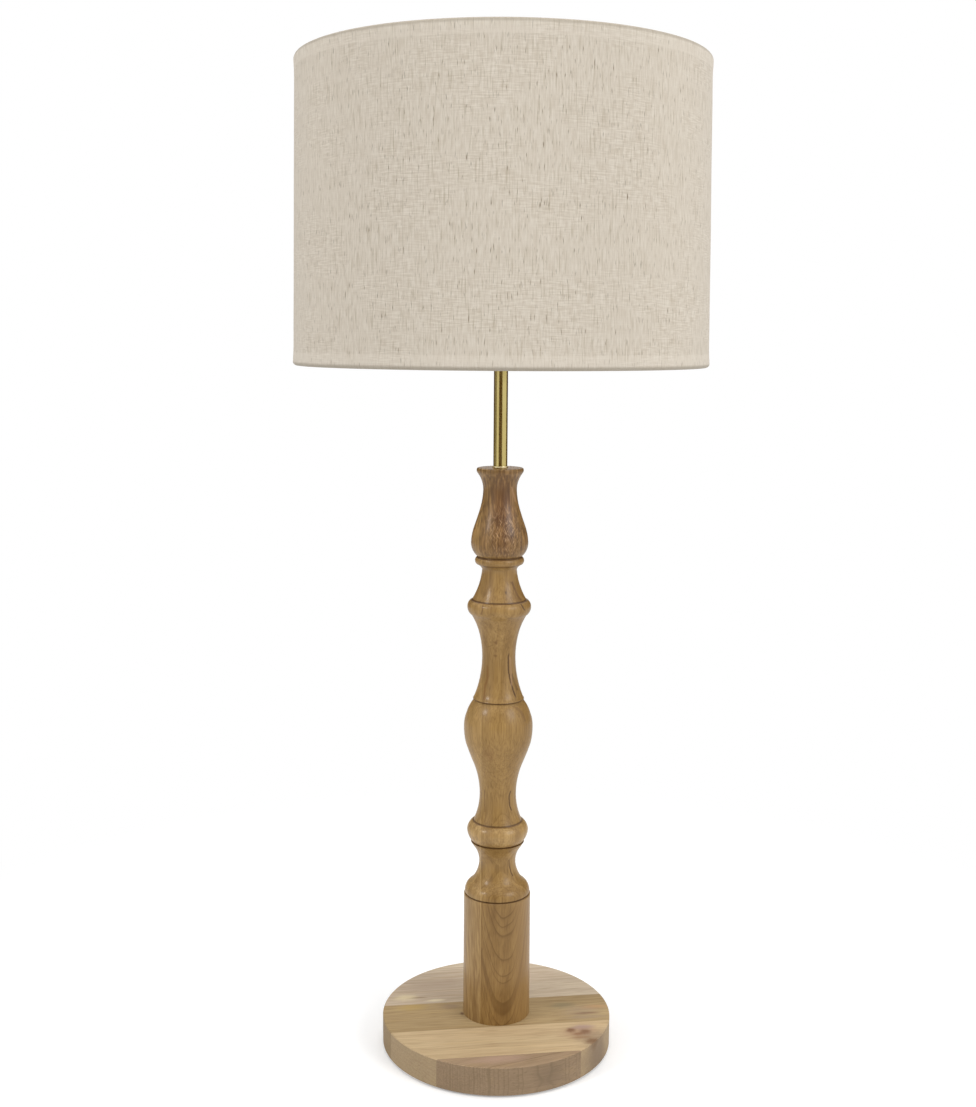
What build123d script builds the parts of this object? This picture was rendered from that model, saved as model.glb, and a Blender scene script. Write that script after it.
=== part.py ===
from build123d import *
import os
from math import asin, atan, cos, degrees, hypot, pi, radians, sin, sqrt, tan

# Table lamp: a turned wooden column on a round base of four glued boards, a brass pipe through
# both, a lampholder with a turn switch, a wire harp on a saddle and a drum shade held by a finial.
# Millimetres. Z is up, the origin is the middle of the felt's underside, and -Y is the front.

# ---------------------------------------------------------------- base
felt_thickness = 1.5
felt_inset = 4.0            # felt edge inside the rim of the base
base_radius = 88.25
base_thickness = 22.0
rim_chamfer = 0.6
board_angle = 8.1           # the boards run this many degrees off the X axis
seam_front = -70.0          # glue lines, measured square to the boards from the axis
seam_middle = -26.7
seam_back = 16.7

pocket_room = 2.5           # recess under the base, round the washer
pocket_depth = 12.5
base_web = 3.5              # wood left between the recess and the mortise
spigot_radius = 11.0        # round tenon at the foot of the column
spigot_fit = 0.1            # radial and end clearance of the tenon

wire_way_radius = 4.0       # hole from the recess to the rear of the rim
wire_way_height = 7.0       # its axis above the underside of the wood
bush_flange_radius = 6.2
bush_flange_thickness = 1.6
bush_seat_depth = 0.5       # flat spot cut in the round rim
bush_length = 14.0
bush_bore_radius = 2.9
bush_fit = 0.05

# ---------------------------------------------------------------- column
# The turned outline from the foot up. Each row is one stretch: what it is, its height, the radius
# at its top, and how far its side bows out (+) or in (-) from a straight line.
foot_radius = 25.8
column_stretches = (
    ("plain cylinder", 97.0, 25.5, 0.0),
    ("cut line, lower side", 0.9, 24.2, 0.0),
    ("cut line, upper side", 0.7, 24.9, 0.0),
    ("shoulder", 7.2, 22.2, 0.8),
    ("shoulder, inner slope", 2.6, 19.1, 0.0),
    ("cove, lower half", 13.3, 13.9, -1.0),
    ("cove, upper half", 14.2, 18.5, -1.4),
    ("fillet under the ring", 2.9, 20.3, 0.0),
    ("cut line under the ring", 0.5, 19.3, 0.0),
    ("lower ring, under side", 9.3, 23.3, 0.9),
    ("lower ring, upper side", 6.3, 19.9, 0.7),
    ("cut line over the ring", 0.6, 18.4, 0.0),
    ("vase stem, lower half", 20.5, 13.8, -1.1),
    ("vase stem, upper half", 23.7, 18.1, -1.1),
    ("vase flare", 17.1, 24.6, 0.2),
    ("vase belly", 12.8, 26.0, 0.4),
    ("vase belly, upper", 10.0, 24.2, 0.5),
    ("vase shoulder", 11.0, 18.2, 0.7),
    ("skirt, under side", 0.4, 19.2, 0.0),
    ("skirt", 1.4, 18.5, 0.2),
    ("long stem, lower half", 30.0, 12.5, -1.4),
    ("long stem, upper half", 21.4, 15.4, -0.8),
    ("bell", 11.5, 20.6, -0.4),
    ("bell edge", 0.4, 21.1, 0.0),
    ("upper ring, under side", 6.1, 23.8, 0.8),
    ("upper ring, upper side", 4.4, 21.8, 0.5),
    ("cut line over the upper ring", 0.6, 20.3, 0.0),
    ("waist, lower half", 23.0, 12.9, -1.4),
    ("waist, upper half", 3.6, 16.3, -0.5),
    ("collar ring, under side", 2.2, 18.2, 0.4),
    ("collar ring, upper side", 3.4, 17.0, 0.5),
    ("cut line under the bulb", 0.6, 16.6, 0.0),
    ("bulb, lower", 10.4, 21.3, 1.3),
    ("bulb, side", 12.9, 18.6, 0.5),
    ("bulb, taper", 12.6, 14.5, -0.1),
    ("mouth", 13.4, 12.4, -0.4),
    ("mouth flare", 12.5, 16.6, -1.1),
    ("lip", 2.5, 17.3, 0.3),
    ("lip, rounded over", 1.3, 16.3, 0.35),
)

# ---------------------------------------------------------------- pipe, nuts and washers
pipe_radius = 5.3
thread_step = 0.35          # the thread is cut this much under the pipe
pipe_bore_radius = 3.8
pipe_bore_gap = 0.4         # between the pipe and the long hole in the wood
pipe_guide_fit = 0.05       # at the top of the column, where the hole is closer
pipe_guide_length = 12.0
thread_fit = 0.05           # a nut on the pipe
thread_run_out = 1.0        # thread that shows past a nut
lower_thread_above_pocket = 2.0
collar_width = 0.5
collar_height = 1.3
neck_length = 73.5          # bare pipe between the collar and the nut under the saddle

washer_radius = 13.0
washer_thickness = 1.5
lock_washer_radius = 9.5
lock_washer_thickness = 1.0
lock_washer_teeth = 10
lock_washer_tooth_depth = 2.0
nut_wall = 2.05             # from the thread to a flat of a nut
nut_height = 3.0
washer_hole_gap = 0.5

# ---------------------------------------------------------------- lampholder
cap_wall = 0.6
cap_boss_wall = 2.55
cap_boss_height = 5.5
cap_shoulder_rise = 3.0     # the cup's floor rises this much from the boss to its side
cap_corner_radius = 6.0
cap_height = 22.0
pipe_in_cap = 8.0
set_screw_radius = 1.5
set_screw_head = 0.9        # how far the screw stands out of the boss

shell_wall = 0.5
shell_length = 48.0
shell_overlap = 6.0         # length of shell inside the cap
shell_fit = 0.1
shell_bead = 0.6            # rolled rim

sleeve_wall = 0.6           # insulating sleeve
sleeve_fit = 0.05
sleeve_room = 1.57          # from the screw shell to the insulating sleeve
core_gap = 0.15             # switch body inside the insulating sleeve
core_height = 20.0
core_lift = 1.0             # above the lower edge of the shell
terminal_inset = 3.4        # depth of the flats on the switch body
terminal_head_radius = 2.6
terminal_head_height = 1.8
terminal_shank_radius = 1.5
terminal_shank_length = 4.5
terminal_height = 7.0

screw_shell_wall = 0.4
screw_shell_floor = 0.5
screw_shell_height = 25.0
screw_shell_hole = 6.5
screw_fit = 0.08            # bulb cap inside the screw shell
contact_width = 5.0
contact_thickness = 0.6
contact_half_length = 5.0
contact_rise = 3.0          # top of the centre contact above the switch body

shaft_radius = 1.6
shaft_fit = 0.05
shaft_height = 12.0         # above the lower edge of the shell
shaft_depth = 8.0           # distance of its inner end from the lamp's axis
shaft_window = 0.8          # gap round the shaft in the shell and the sleeve
key_gap = 3.0               # between the shell and the switch key
key_collar_radius = 4.4
key_collar_length = 4.0
key_width = 13.0
key_thickness = 4.2
key_length = 10.0
key_edge = 1.0              # edges of the paddle taken off
key_bore_depth = 7.0

# ---------------------------------------------------------------- bulb
bulb_cap_radius = 13.0
bulb_cap_wall = 0.4
bulb_cap_height = 22.5
bulb_cap_flare = 0.4
insulator_height = 3.2
insulator_step = 1.0        # insulator's upper edge inside the bulb's cap
tip_radius = 4.6
tip_height = 1.3
glass_radius = 30.0
glass_height = 79.0
glass_wall = 0.9
glass_in_cap = 9.0
glass_neck_angle = 33.0     # where the neck meets the globe, below the globe's middle

# ---------------------------------------------------------------- harp and saddle
saddle_thickness = 1.6
saddle_disc_radius = 11.0
saddle_arm_width = 9.0
saddle_bend_radius = 1.5
leg_offset = 28.5           # each leg from the axis
tongue_width = 4.6
tongue_height = 17.0
wire_radius = 2.0
fork_gap = 0.1              # each side of the tongue
fork_depth = 10.0
foot_lift = 8.0             # lower end of the wire above the saddle
leg_straight = 32.0
leg_flare = 54.0
leg_side = 28.0
bow_radius = 56.0
pad_radius = 8.0            # flattened top of the wire, under the stud's disc
pad_thickness = 3.2
stud_disc_thickness = 1.6
stud_radius = 3.175
stud_length = 13.0
rivet_radius = 1.9
rivet_head_radius = 3.4
rivet_head_height = 1.0

harp_sleeve_wall = 0.85
harp_sleeve_length = 18.0
harp_sleeve_neck = 3.5
harp_sleeve_lift = 4.0      # above the saddle
harp_sleeve_fit = 0.08      # on the wire
harp_sleeve_room = 0.31     # round the corners of the tongue

# ---------------------------------------------------------------- shade
shade_bottom_radius = 150.0
shade_top_radius = 146.5
shade_height = 212.0
spider_recess = 24.2        # top of the hub below the top edge of the shade
cloth_thickness = 0.7
liner_thickness = 0.8
glue_gap = 0.05
hem_gap = 0.4               # cloth round the rings
frame_wire_radius = 1.5
hem_length = 8.0            # cloth turned in over the rings
hub_radius = 12.0
hub_thickness = 1.5
hub_gap = 0.4               # round the stud
arm_count = 3
arm_first_angle = 90.0
arm_inner_radius = 8.6
arm_bend_run = 26.0         # the arms rise to the ring over this length
arm_bend_radius = 8.0
arm_notch_gap = 0.3         # cloth kept off each side of an arm
arm_notch_rise = 0.75       # top of the notch above the middle of the ring

# ---------------------------------------------------------------- finial
finial_fit = 0.05           # on the stud
ferrule_radius = 7.5
ferrule_flange = 1.6
ferrule_neck_radius = 5.0
ferrule_height = 6.0
ball_radius = 8.8
ball_height = 14.0          # middle of the ball above the hub
ball_neck_radius = 6.0
ball_neck_height = 4.2
finial_end_gap = 1.5        # over the end of the stud

# ---------------------------------------------------------------- sizes worked out from them
column_height = sum(height for name, height, radius, bow in column_stretches)
pocket_radius = washer_radius + pocket_room
pipe_thread_radius = pipe_radius - thread_step
collar_radius = pipe_radius + collar_width
nut_across_flats = 2 * (pipe_thread_radius + nut_wall)
wood_bottom = felt_thickness
base_top = wood_bottom + base_thickness
pocket_top = wood_bottom + pocket_depth
mortise_depth = base_thickness - pocket_depth - base_web
column_top = base_top + column_height
collar_top = column_top + collar_height
saddle_nut_z = collar_top + neck_length
saddle_z = saddle_nut_z + nut_height
saddle_top = saddle_z + saddle_thickness
pipe_top = saddle_top + pipe_in_cap

washer_z = pocket_top - washer_thickness
lock_washer_z = washer_z - lock_washer_thickness
base_nut_z = lock_washer_z - nut_height
pipe_bottom = base_nut_z - thread_run_out

screw_shell_radius = bulb_cap_radius + screw_fit + screw_shell_wall
sleeve_inner_radius = screw_shell_radius + sleeve_room
sleeve_radius = sleeve_inner_radius + sleeve_wall
shell_inner_radius = sleeve_radius + sleeve_fit
shell_radius = shell_inner_radius + shell_wall
cap_inner_radius = shell_radius + shell_fit
cap_radius = cap_inner_radius + cap_wall
cap_boss_radius = pipe_thread_radius + cap_boss_wall
shell_z = saddle_top + cap_height - shell_overlap
shell_top = shell_z + shell_length
core_radius = sleeve_inner_radius - core_gap
core_z = shell_z + core_lift
core_top = core_z + core_height
shaft_z = shell_z + shaft_height
terminal_flat = core_radius - terminal_inset
contact_top = core_top + contact_rise

insulator_top_radius = bulb_cap_radius - insulator_step
tip_z = contact_top
insulator_z = tip_z + tip_height
bulb_cap_z = insulator_z + insulator_height
bulb_cap_top = bulb_cap_z + bulb_cap_height
glass_top = bulb_cap_top + glass_height

harp_sleeve_bore = hypot(tongue_width, saddle_thickness) / 2 + harp_sleeve_room
harp_sleeve_radius = harp_sleeve_bore + harp_sleeve_wall
foot_z = saddle_top + foot_lift
flare_z = foot_z + leg_straight
side_z = flare_z + leg_flare
bow_z = side_z + leg_side
bow_top = bow_z + bow_radius
stud_disc_z = bow_top + pad_thickness / 2
hub_z = stud_disc_z + stud_disc_thickness
hub_top = hub_z + hub_thickness
stud_top = hub_z + stud_length
shade_top = hub_top + spider_recess
shade_bottom = shade_top - shade_height


# ---------------------------------------------------------------- helpers
def turn(*edges):
    """A turned piece from a closed outline of edges drawn as (radius, height)."""
    return revolve(Plane.XZ * make_face([*edges]), Axis.Z)


def turn_points(*points):
    """A turned piece from a closed outline of straight lines through (radius, height) points."""
    return turn(Polyline(*points, close=True))


def upright(radius, low, high):
    """A round bar on the Z axis between two heights."""
    return Pos(0, 0, (low + high) / 2) * Cylinder(radius, high - low)


def tube(outer, inner, low, high):
    """A plain tube on the Z axis."""
    return upright(outer, low, high) - upright(inner, low, high)


def rod_along_y(radius, start, end, z):
    """A round bar parallel to the Y axis over X = 0."""
    return Pos(0, (start + end) / 2, z) * Rot(90, 0, 0) * Cylinder(radius, end - start)


def rod_along_x(radius, start, end, z):
    """A round bar parallel to the X axis over Y = 0."""
    return Pos((start + end) / 2, 0, z) * Rot(0, 90, 0) * Cylinder(radius, end - start)


def cone_radius(height, offset):
    """Radius of the shade's side at a height, moved in by an offset."""
    share = (height - shade_bottom) / shade_height
    return shade_bottom_radius + (shade_top_radius - shade_bottom_radius) * share - offset


# ---------------------------------------------------------------- base
def base_blank():
    """The round base as if it were one block, with its mortise, recess and wire hole."""
    radius = base_radius
    low = wood_bottom
    high = base_top
    disc = turn_points(
        (0, low),
        (radius - rim_chamfer, low),
        (radius, low + rim_chamfer),
        (radius, high - rim_chamfer),
        (radius - rim_chamfer, high),
        (0, high),
    )
    disc -= upright(pocket_radius, low, pocket_top)
    disc -= upright(spigot_radius + spigot_fit, high - mortise_depth, high)
    disc -= upright(pipe_radius + pipe_bore_gap, pocket_top, high - mortise_depth)
    way_z = low + wire_way_height
    disc -= rod_along_y(wire_way_radius, pocket_radius - 2.0, radius, way_z)
    disc -= rod_along_y(bush_flange_radius + bush_fit, radius - bush_seat_depth, radius + 1.0, way_z)
    return disc


def base_board(blank, near, far):
    """One board of the base: the block between two glue lines."""
    length = 2.2 * base_radius
    slab = Pos(0, (near + far) / 2, base_top / 2) * Box(length, far - near, 2 * base_top)
    return blank & (Rot(0, 0, board_angle) * slab)


def felt_pad():
    return upright(base_radius - felt_inset, 0, felt_thickness)


def cord_bush():
    """Flanged bush at the rear of the rim, where a flex would come out."""
    seat = base_radius - bush_seat_depth
    way_z = wood_bottom + wire_way_height
    body = rod_along_y(wire_way_radius - bush_fit, seat - bush_length, seat, way_z)
    flange = rod_along_y(bush_flange_radius, seat, seat + bush_flange_thickness, way_z)
    rim = flange.edges().filter_by(GeomType.CIRCLE).sort_by(Axis.Y)[-1]
    flange = chamfer(rim, bush_flange_thickness / 3)
    bore = rod_along_y(bush_bore_radius, seat - bush_length, seat + bush_flange_thickness, way_z)
    return body + flange - bore


# ---------------------------------------------------------------- column
def column():
    """The turned column: its outline is one chain of lines and arcs, from the foot to the lip."""
    edges = []
    here = (foot_radius, base_top)
    for name, height, radius, bow in column_stretches:
        there = (radius, here[1] + height)
        if bow:
            edges.append(SagittaArc(here, there, -bow))
        else:
            edges.append(Line(here, there))
        here = there
    foot = (0, base_top)
    edges.append(Polyline(here, (0, column_top), foot, (foot_radius, base_top)))
    wood = turn(*edges)
    wood += upright(spigot_radius, base_top - mortise_depth + spigot_fit, base_top)
    guide_z = column_top - pipe_guide_length
    wood -= upright(pipe_radius + pipe_bore_gap, base_top - mortise_depth, guide_z)
    wood -= upright(pipe_radius + pipe_guide_fit, guide_z, column_top)
    return wood


# ---------------------------------------------------------------- pipe, nuts and washers
def stand_pipe():
    """Brass pipe from the recess under the base to the lampholder, threaded at both ends."""
    lower_end = pocket_top + lower_thread_above_pocket
    upper_start = saddle_nut_z - thread_run_out
    edge = 0.5
    return turn_points(
        (pipe_bore_radius, pipe_bottom),
        (pipe_thread_radius - edge, pipe_bottom),
        (pipe_thread_radius, pipe_bottom + edge),
        (pipe_thread_radius, lower_end),
        (pipe_radius, lower_end),
        (pipe_radius, upper_start),
        (pipe_thread_radius, upper_start),
        (pipe_thread_radius, pipe_top - edge),
        (pipe_thread_radius - edge, pipe_top),
        (pipe_bore_radius, pipe_top),
    )


def pipe_collar():
    """Thin brass ring on the pipe that bears on the top of the column."""
    edge = 0.3
    return turn_points(
        (pipe_radius, column_top),
        (collar_radius, column_top),
        (collar_radius, collar_top - edge),
        (collar_radius - edge, collar_top),
        (pipe_radius, collar_top),
    )


def hex_nut(low):
    """Thin hexagonal nut on the pipe's thread, with its corners turned off."""
    hexagon = RegularPolygon(nut_across_flats / 2, 6, major_radius=False)
    blank = extrude(Pos(0, 0, low) * hexagon, nut_height)
    corner = nut_across_flats / sqrt(3)
    edge = (corner - nut_across_flats / 2) * 0.6
    high = low + nut_height
    turned = turn_points(
        (0, low),
        (corner - edge, low),
        (corner, low + edge / 2),
        (corner, high - edge / 2),
        (corner - edge, high),
        (0, high),
    )
    return (blank & turned) - upright(pipe_thread_radius + thread_fit, low, high)


def base_washer():
    return tube(washer_radius, pipe_thread_radius + washer_hole_gap, washer_z, pocket_top)


def base_lock_washer():
    """Toothed washer under the flat washer."""
    ring = tube(lock_washer_radius, pipe_thread_radius + washer_hole_gap, lock_washer_z, washer_z)
    gap_width = pi * lock_washer_radius / lock_washer_teeth
    middle = lock_washer_radius - lock_washer_tooth_depth / 2
    slot = Box(lock_washer_tooth_depth + 1.0, gap_width, 2 * lock_washer_thickness)
    for index in range(lock_washer_teeth):
        turn_by = Rot(0, 0, index * 360 / lock_washer_teeth)
        ring -= turn_by * Pos(middle + 0.5, 0, (lock_washer_z + washer_z) / 2) * slot
    return ring


# ---------------------------------------------------------------- lampholder
def socket_cap():
    """Lower half of the lampholder: a tapped boss that opens into a thin round-bottomed cup."""
    z = saddle_top
    dome_z = z + cap_boss_height
    floor_z = dome_z + 2 * cap_wall
    shoulder_z = dome_z + cap_shoulder_rise
    top = z + cap_height
    bore = pipe_thread_radius + thread_fit
    outer = FilletPolyline(
        (cap_boss_radius, dome_z), (cap_radius, shoulder_z), (cap_radius, top), radius=cap_corner_radius
    )
    inner = FilletPolyline(
        (cap_inner_radius, top),
        (cap_inner_radius, shoulder_z + cap_wall),
        (cap_boss_radius, floor_z),
        radius=cap_corner_radius - cap_wall,
    )
    cup = turn(
        Polyline((bore, floor_z), (bore, z), (cap_boss_radius, z), (cap_boss_radius, dome_z)),
        outer,
        Line((cap_radius, top), (cap_inner_radius, top)),
        inner,
        Line((cap_boss_radius, floor_z), (bore, floor_z)),
    )
    screw_z = z + cap_boss_height / 2
    return cup - rod_along_x(set_screw_radius, 0, cap_boss_radius + 1.0, screw_z)


def cap_set_screw():
    """Small screw that locks the cap on the pipe, with a slot across its end."""
    end = cap_boss_radius + set_screw_head
    z = saddle_top + cap_boss_height / 2
    screw = rod_along_x(set_screw_radius, pipe_thread_radius + thread_fit, end, z)
    slot_depth = set_screw_head * 0.7
    return screw - Pos(end - slot_depth / 2, 0, z) * Box(slot_depth, 4 * set_screw_radius, 0.6)


def shaft_hole(gap):
    """The bar that is cut away round the switch shaft, from the axis to the front."""
    return rod_along_y(shaft_radius + gap, -2 * cap_radius, -shaft_depth / 2, shaft_z)


def socket_shell():
    """Upper half of the lampholder: a thin brass tube with a rolled rim."""
    bead = shell_bead
    wall = turn_points(
        (shell_inner_radius, shell_z),
        (shell_radius, shell_z),
        (shell_radius, shell_top - 2 * bead),
        (shell_radius + bead, shell_top - 1.5 * bead),
        (shell_radius + bead, shell_top - 0.5 * bead),
        (shell_radius, shell_top),
        (shell_inner_radius, shell_top),
    )
    return wall - shaft_hole(shaft_window)


def socket_sleeve():
    """Insulating fibre sleeve inside the shell."""
    sleeve = tube(sleeve_radius, sleeve_inner_radius, core_z, shell_top - 1.0)
    return sleeve - shaft_hole(shaft_window)


def socket_core():
    """Moulded switch body, with a flat and a screw hole for each wire."""
    core = upright(core_radius, core_z, core_top)
    core = chamfer(core.edges().sort_by(Axis.Z)[-1], 0.8)
    beyond = core_radius - terminal_flat
    flat = Box(beyond, 2 * core_radius, core_height * 0.7)
    for side in (-1, 1):
        core -= Pos(side * (terminal_flat + beyond / 2), 0, core_z + core_height * 0.35) * flat
    core -= terminal_shanks()
    return core - rod_along_y(shaft_radius + shaft_fit, -core_radius - 1.0, -shaft_depth, shaft_z)


def terminal_shanks():
    """The shanks of the two terminal screws."""
    z = core_z + terminal_height
    inner = terminal_flat - terminal_shank_length
    left = rod_along_x(terminal_shank_radius, -terminal_flat, -inner, z)
    right = rod_along_x(terminal_shank_radius, inner, terminal_flat, z)
    return left + right


def terminal_screws():
    """Two terminal screws, one a side, with slotted heads."""
    z = core_z + terminal_height
    end = terminal_flat + terminal_head_height
    slot_depth = terminal_head_height / 2
    screws = []
    for side in (-1, 1):
        inner = terminal_flat - terminal_shank_length
        shank = rod_along_x(terminal_shank_radius, inner, terminal_flat, z)
        head = rod_along_x(terminal_head_radius, terminal_flat, end, z)
        slot = Pos(end - slot_depth / 2, 0, z) * Box(slot_depth, 3 * terminal_head_radius, 0.8)
        screw = shank + head - slot
        screws.append(screw if side > 0 else Rot(0, 0, 180) * screw)
    return Compound(children=screws)


def screw_shell():
    """Thin metal cup that the bulb's cap screws into, with a hole in its floor."""
    inner = bulb_cap_radius + screw_fit
    outer = screw_shell_radius
    top = core_top + screw_shell_height
    return turn_points(
        (screw_shell_hole, core_top),
        (outer, core_top),
        (outer, top),
        (inner, top),
        (inner, core_top + screw_shell_floor),
        (screw_shell_hole, core_top + screw_shell_floor),
    )


def centre_contact():
    """Bent brass tongue under the tip of the bulb."""
    end = contact_half_length
    thick = contact_thickness
    top = contact_top
    low = core_top
    side = Polyline(
        (-end, low),
        (end * 0.6, low),
        (end * 0.6, low + thick),
        (-end + 2 * thick, low + thick),
        (-end * 0.55, top - thick),
        (end * 0.5, top - thick),
        (end * 0.7, top - 2.2 * thick),
        (end * 0.7 + thick, top - 2.2 * thick),
        (end * 0.5 + thick, top),
        (-end * 0.6, top),
        (-end, low + thick),
        close=True,
    )
    return extrude(Plane.XZ * make_face(side), contact_width / 2, both=True)


def switch_shaft():
    """Shaft of the turn switch, from inside the switch body into the key."""
    end = shell_radius + key_gap + key_bore_depth
    return rod_along_y(shaft_radius, -end, -shaft_depth, shaft_z)


def switch_key():
    """Moulded key: a round collar that flattens into a paddle with its edges taken off."""
    start = shell_radius + key_gap
    collar_end = start + key_collar_length
    end = collar_end + key_length
    collar = rod_along_y(key_collar_radius, -collar_end - 1.0, -start, shaft_z)
    paddle = Pos(0, -(collar_end + end) / 2, shaft_z) * Box(key_width, key_length, key_thickness)
    paddle = fillet(paddle.edges().filter_by(Axis.Z), key_width / 4)
    paddle = chamfer(paddle.edges().filter_by(Axis.Z, reverse=True), key_edge)
    bore = rod_along_y(shaft_radius, -start - key_bore_depth, -start, shaft_z)
    return collar + paddle - bore


# ---------------------------------------------------------------- bulb
def bulb_tip():
    """Metal contact at the end of the bulb's cap."""
    return turn_points(
        (0, tip_z),
        (tip_radius - 0.6, tip_z),
        (tip_radius, tip_z + 0.6),
        (tip_radius, insulator_z),
        (0, insulator_z),
    )


def bulb_insulator():
    """Dark glass ring between the contact and the screw cap."""
    return turn(
        Line((0, insulator_z), (tip_radius + 0.6, insulator_z)),
        SagittaArc((tip_radius + 0.6, insulator_z), (insulator_top_radius, bulb_cap_z), 0.8),
        Polyline((insulator_top_radius, bulb_cap_z), (0, bulb_cap_z), (0, insulator_z)),
    )


def bulb_cap():
    """Thin screw cap of the bulb, with a floor on the insulator and a flared top edge."""
    outer = bulb_cap_radius
    inner = outer - bulb_cap_wall
    floor_z = bulb_cap_z + bulb_cap_wall
    rim_z = bulb_cap_top - 1.5
    flare = bulb_cap_flare
    return turn_points(
        (tip_radius, bulb_cap_z),
        (insulator_top_radius, bulb_cap_z),
        (outer, bulb_cap_z + 1.5),
        (outer, rim_z),
        (outer + flare, bulb_cap_top),
        (inner + flare, bulb_cap_top),
        (inner, rim_z),
        (inner, bulb_cap_z + 1.8),
        (insulator_top_radius - 0.3, floor_z),
        (tip_radius, floor_z),
    )


def glass_outline(offset):
    """Outline of the bulb's glass, moved in by the wall: neck, shoulder and globe."""
    globe = glass_radius - offset
    globe_z = glass_top - glass_radius
    neck = bulb_cap_radius - bulb_cap_wall - glue_gap - offset
    angle = radians(glass_neck_angle)
    join = (globe * cos(angle), globe_z - globe * sin(angle))
    slope = (sin(angle), cos(angle))
    foot = bulb_cap_top - glass_in_cap
    return [
        Polyline((0, foot), (neck, foot), (neck, bulb_cap_top)),
        TangentArc(join, (neck, bulb_cap_top), tangent=(-slope[0], -slope[1])),
        JernArc(join, slope, globe, 90 + glass_neck_angle),
        Line((0, globe_z + globe), (0, foot)),
    ]


def bulb_glass():
    """Hollow opal glass of the bulb, open at the end of its neck."""
    return turn(*glass_outline(0)) - turn(*glass_outline(glass_wall))


# ---------------------------------------------------------------- harp and saddle
def harp_saddle():
    """Flat strip under the lampholder whose two ends are bent up into narrow tongues."""
    low = saddle_z
    high = saddle_top
    inner = leg_offset - saddle_thickness / 2
    outer = leg_offset + saddle_thickness / 2
    corner = saddle_bend_radius
    top = high + tongue_height
    round_out = corner + saddle_thickness
    outside = FilletPolyline((-outer, top), (-outer, low), (outer, low), (outer, top), radius=round_out)
    inside = FilletPolyline((inner, top), (inner, high), (-inner, high), (-inner, top), radius=corner)
    ends = [Line((outer, top), (inner, top)), Line((-inner, top), (-outer, top))]
    width = 2 * saddle_disc_radius
    strip = extrude(Plane.XZ * make_face([outside, inside, *ends]), width / 2, both=True)
    reach = inner - corner
    arm = saddle_arm_width / 2
    tongue = tongue_width / 2
    plan = Polyline(
        (-outer, -tongue), (-reach, -tongue), (-reach * 0.75, -arm), (reach * 0.75, -arm),
        (reach, -tongue), (outer, -tongue), (outer, tongue), (reach, tongue),
        (reach * 0.75, arm), (-reach * 0.75, arm), (-reach, tongue), (-outer, tongue),
        close=True,
    )
    outline = make_face(plan) + Circle(saddle_disc_radius)
    strip &= extrude(Pos(0, 0, low - 1.0) * outline, tongue_height + 4.0)
    return strip - upright(pipe_thread_radius + thread_fit, low - 1.0, high + 1.0)


def harp_path():
    """Centre line of the harp: straight legs, a flare on each side and a half-round bow."""
    reach = bow_radius - leg_offset
    turn_half = atan(reach / leg_flare)
    flare_radius = leg_flare / (2 * sin(2 * turn_half))
    middle = ((leg_offset + bow_radius) / 2, flare_z + leg_flare / 2)
    path = []
    for side in (-1, 1):
        foot = (side * leg_offset, foot_z)
        knee = (side * leg_offset, flare_z)
        half = (side * middle[0], middle[1])
        hip = (side * bow_radius, side_z)
        path.append(Line(foot, knee))
        path.append(JernArc(knee, (0, 1), flare_radius, -side * degrees(2 * turn_half)))
        path.append(JernArc(hip, (0, -1), flare_radius, -side * degrees(2 * turn_half)))
        path.append(Line(hip, (side * bow_radius, bow_z)))
    path.append(CenterArc((0, bow_z), bow_radius, 0, 180))
    return Plane.XZ * Wire(path)


def harp_wire():
    """Bent wire of the harp, with a flat pad at its top and a fork at each foot."""
    section = Pos(-leg_offset, 0, foot_z) * Circle(wire_radius)
    wire = sweep(section, path=harp_path())
    wire -= upright(pad_radius, bow_top - 2 * wire_radius, bow_top + 2 * wire_radius)
    wire += upright(pad_radius, bow_top - pad_thickness / 2, bow_top + pad_thickness / 2)
    wire -= upright(rivet_radius, bow_top - pad_thickness, bow_top + pad_thickness)
    slot_width = saddle_thickness + 2 * fork_gap
    for side in (-1, 1):
        slot = Box(slot_width, 3 * wire_radius, 2 * fork_depth)
        wire -= Pos(side * leg_offset, 0, foot_z) * slot
    return wire


def harp_stud():
    """Disc and stud on top of the harp, riveted through the pad."""
    low = bow_top - pad_thickness / 2
    edge = 0.5
    return turn_points(
        (0, low - rivet_head_height),
        (rivet_head_radius, low - rivet_head_height),
        (rivet_head_radius, low),
        (rivet_radius, low),
        (rivet_radius, stud_disc_z),
        (pad_radius, stud_disc_z),
        (pad_radius, hub_z),
        (stud_radius, hub_z),
        (stud_radius, stud_top - edge),
        (stud_radius - edge, stud_top),
        (0, stud_top),
    )


def harp_sleeve(side):
    """Small sleeve that locks one leg of the harp on its tongue."""
    low = saddle_top + harp_sleeve_lift
    high = low + harp_sleeve_length
    neck_z = high - harp_sleeve_neck
    edge = 0.4
    neck_bore = wire_radius + harp_sleeve_fit
    sleeve = turn_points(
        (harp_sleeve_bore, low),
        (harp_sleeve_radius, low),
        (harp_sleeve_radius, high - edge),
        (harp_sleeve_radius - edge, high),
        (neck_bore, high),
        (neck_bore, neck_z),
        (harp_sleeve_bore, neck_z),
    )
    return Pos(side * leg_offset, 0, 0) * sleeve


# ---------------------------------------------------------------- shade
liner_offset = cloth_thickness + glue_gap
ring_offset = liner_offset + liner_thickness + glue_gap + frame_wire_radius
ring_end_gap = cloth_thickness + hem_gap + frame_wire_radius
top_ring_z = shade_top - ring_end_gap
bottom_ring_z = shade_bottom + ring_end_gap
top_ring_radius = cone_radius(top_ring_z, ring_offset)
bottom_ring_radius = cone_radius(bottom_ring_z, ring_offset)


def frame_ring(radius, z):
    """Round wire ring inside one edge of the shade."""
    return Pos(0, 0, z) * Torus(radius, frame_wire_radius)


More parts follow.
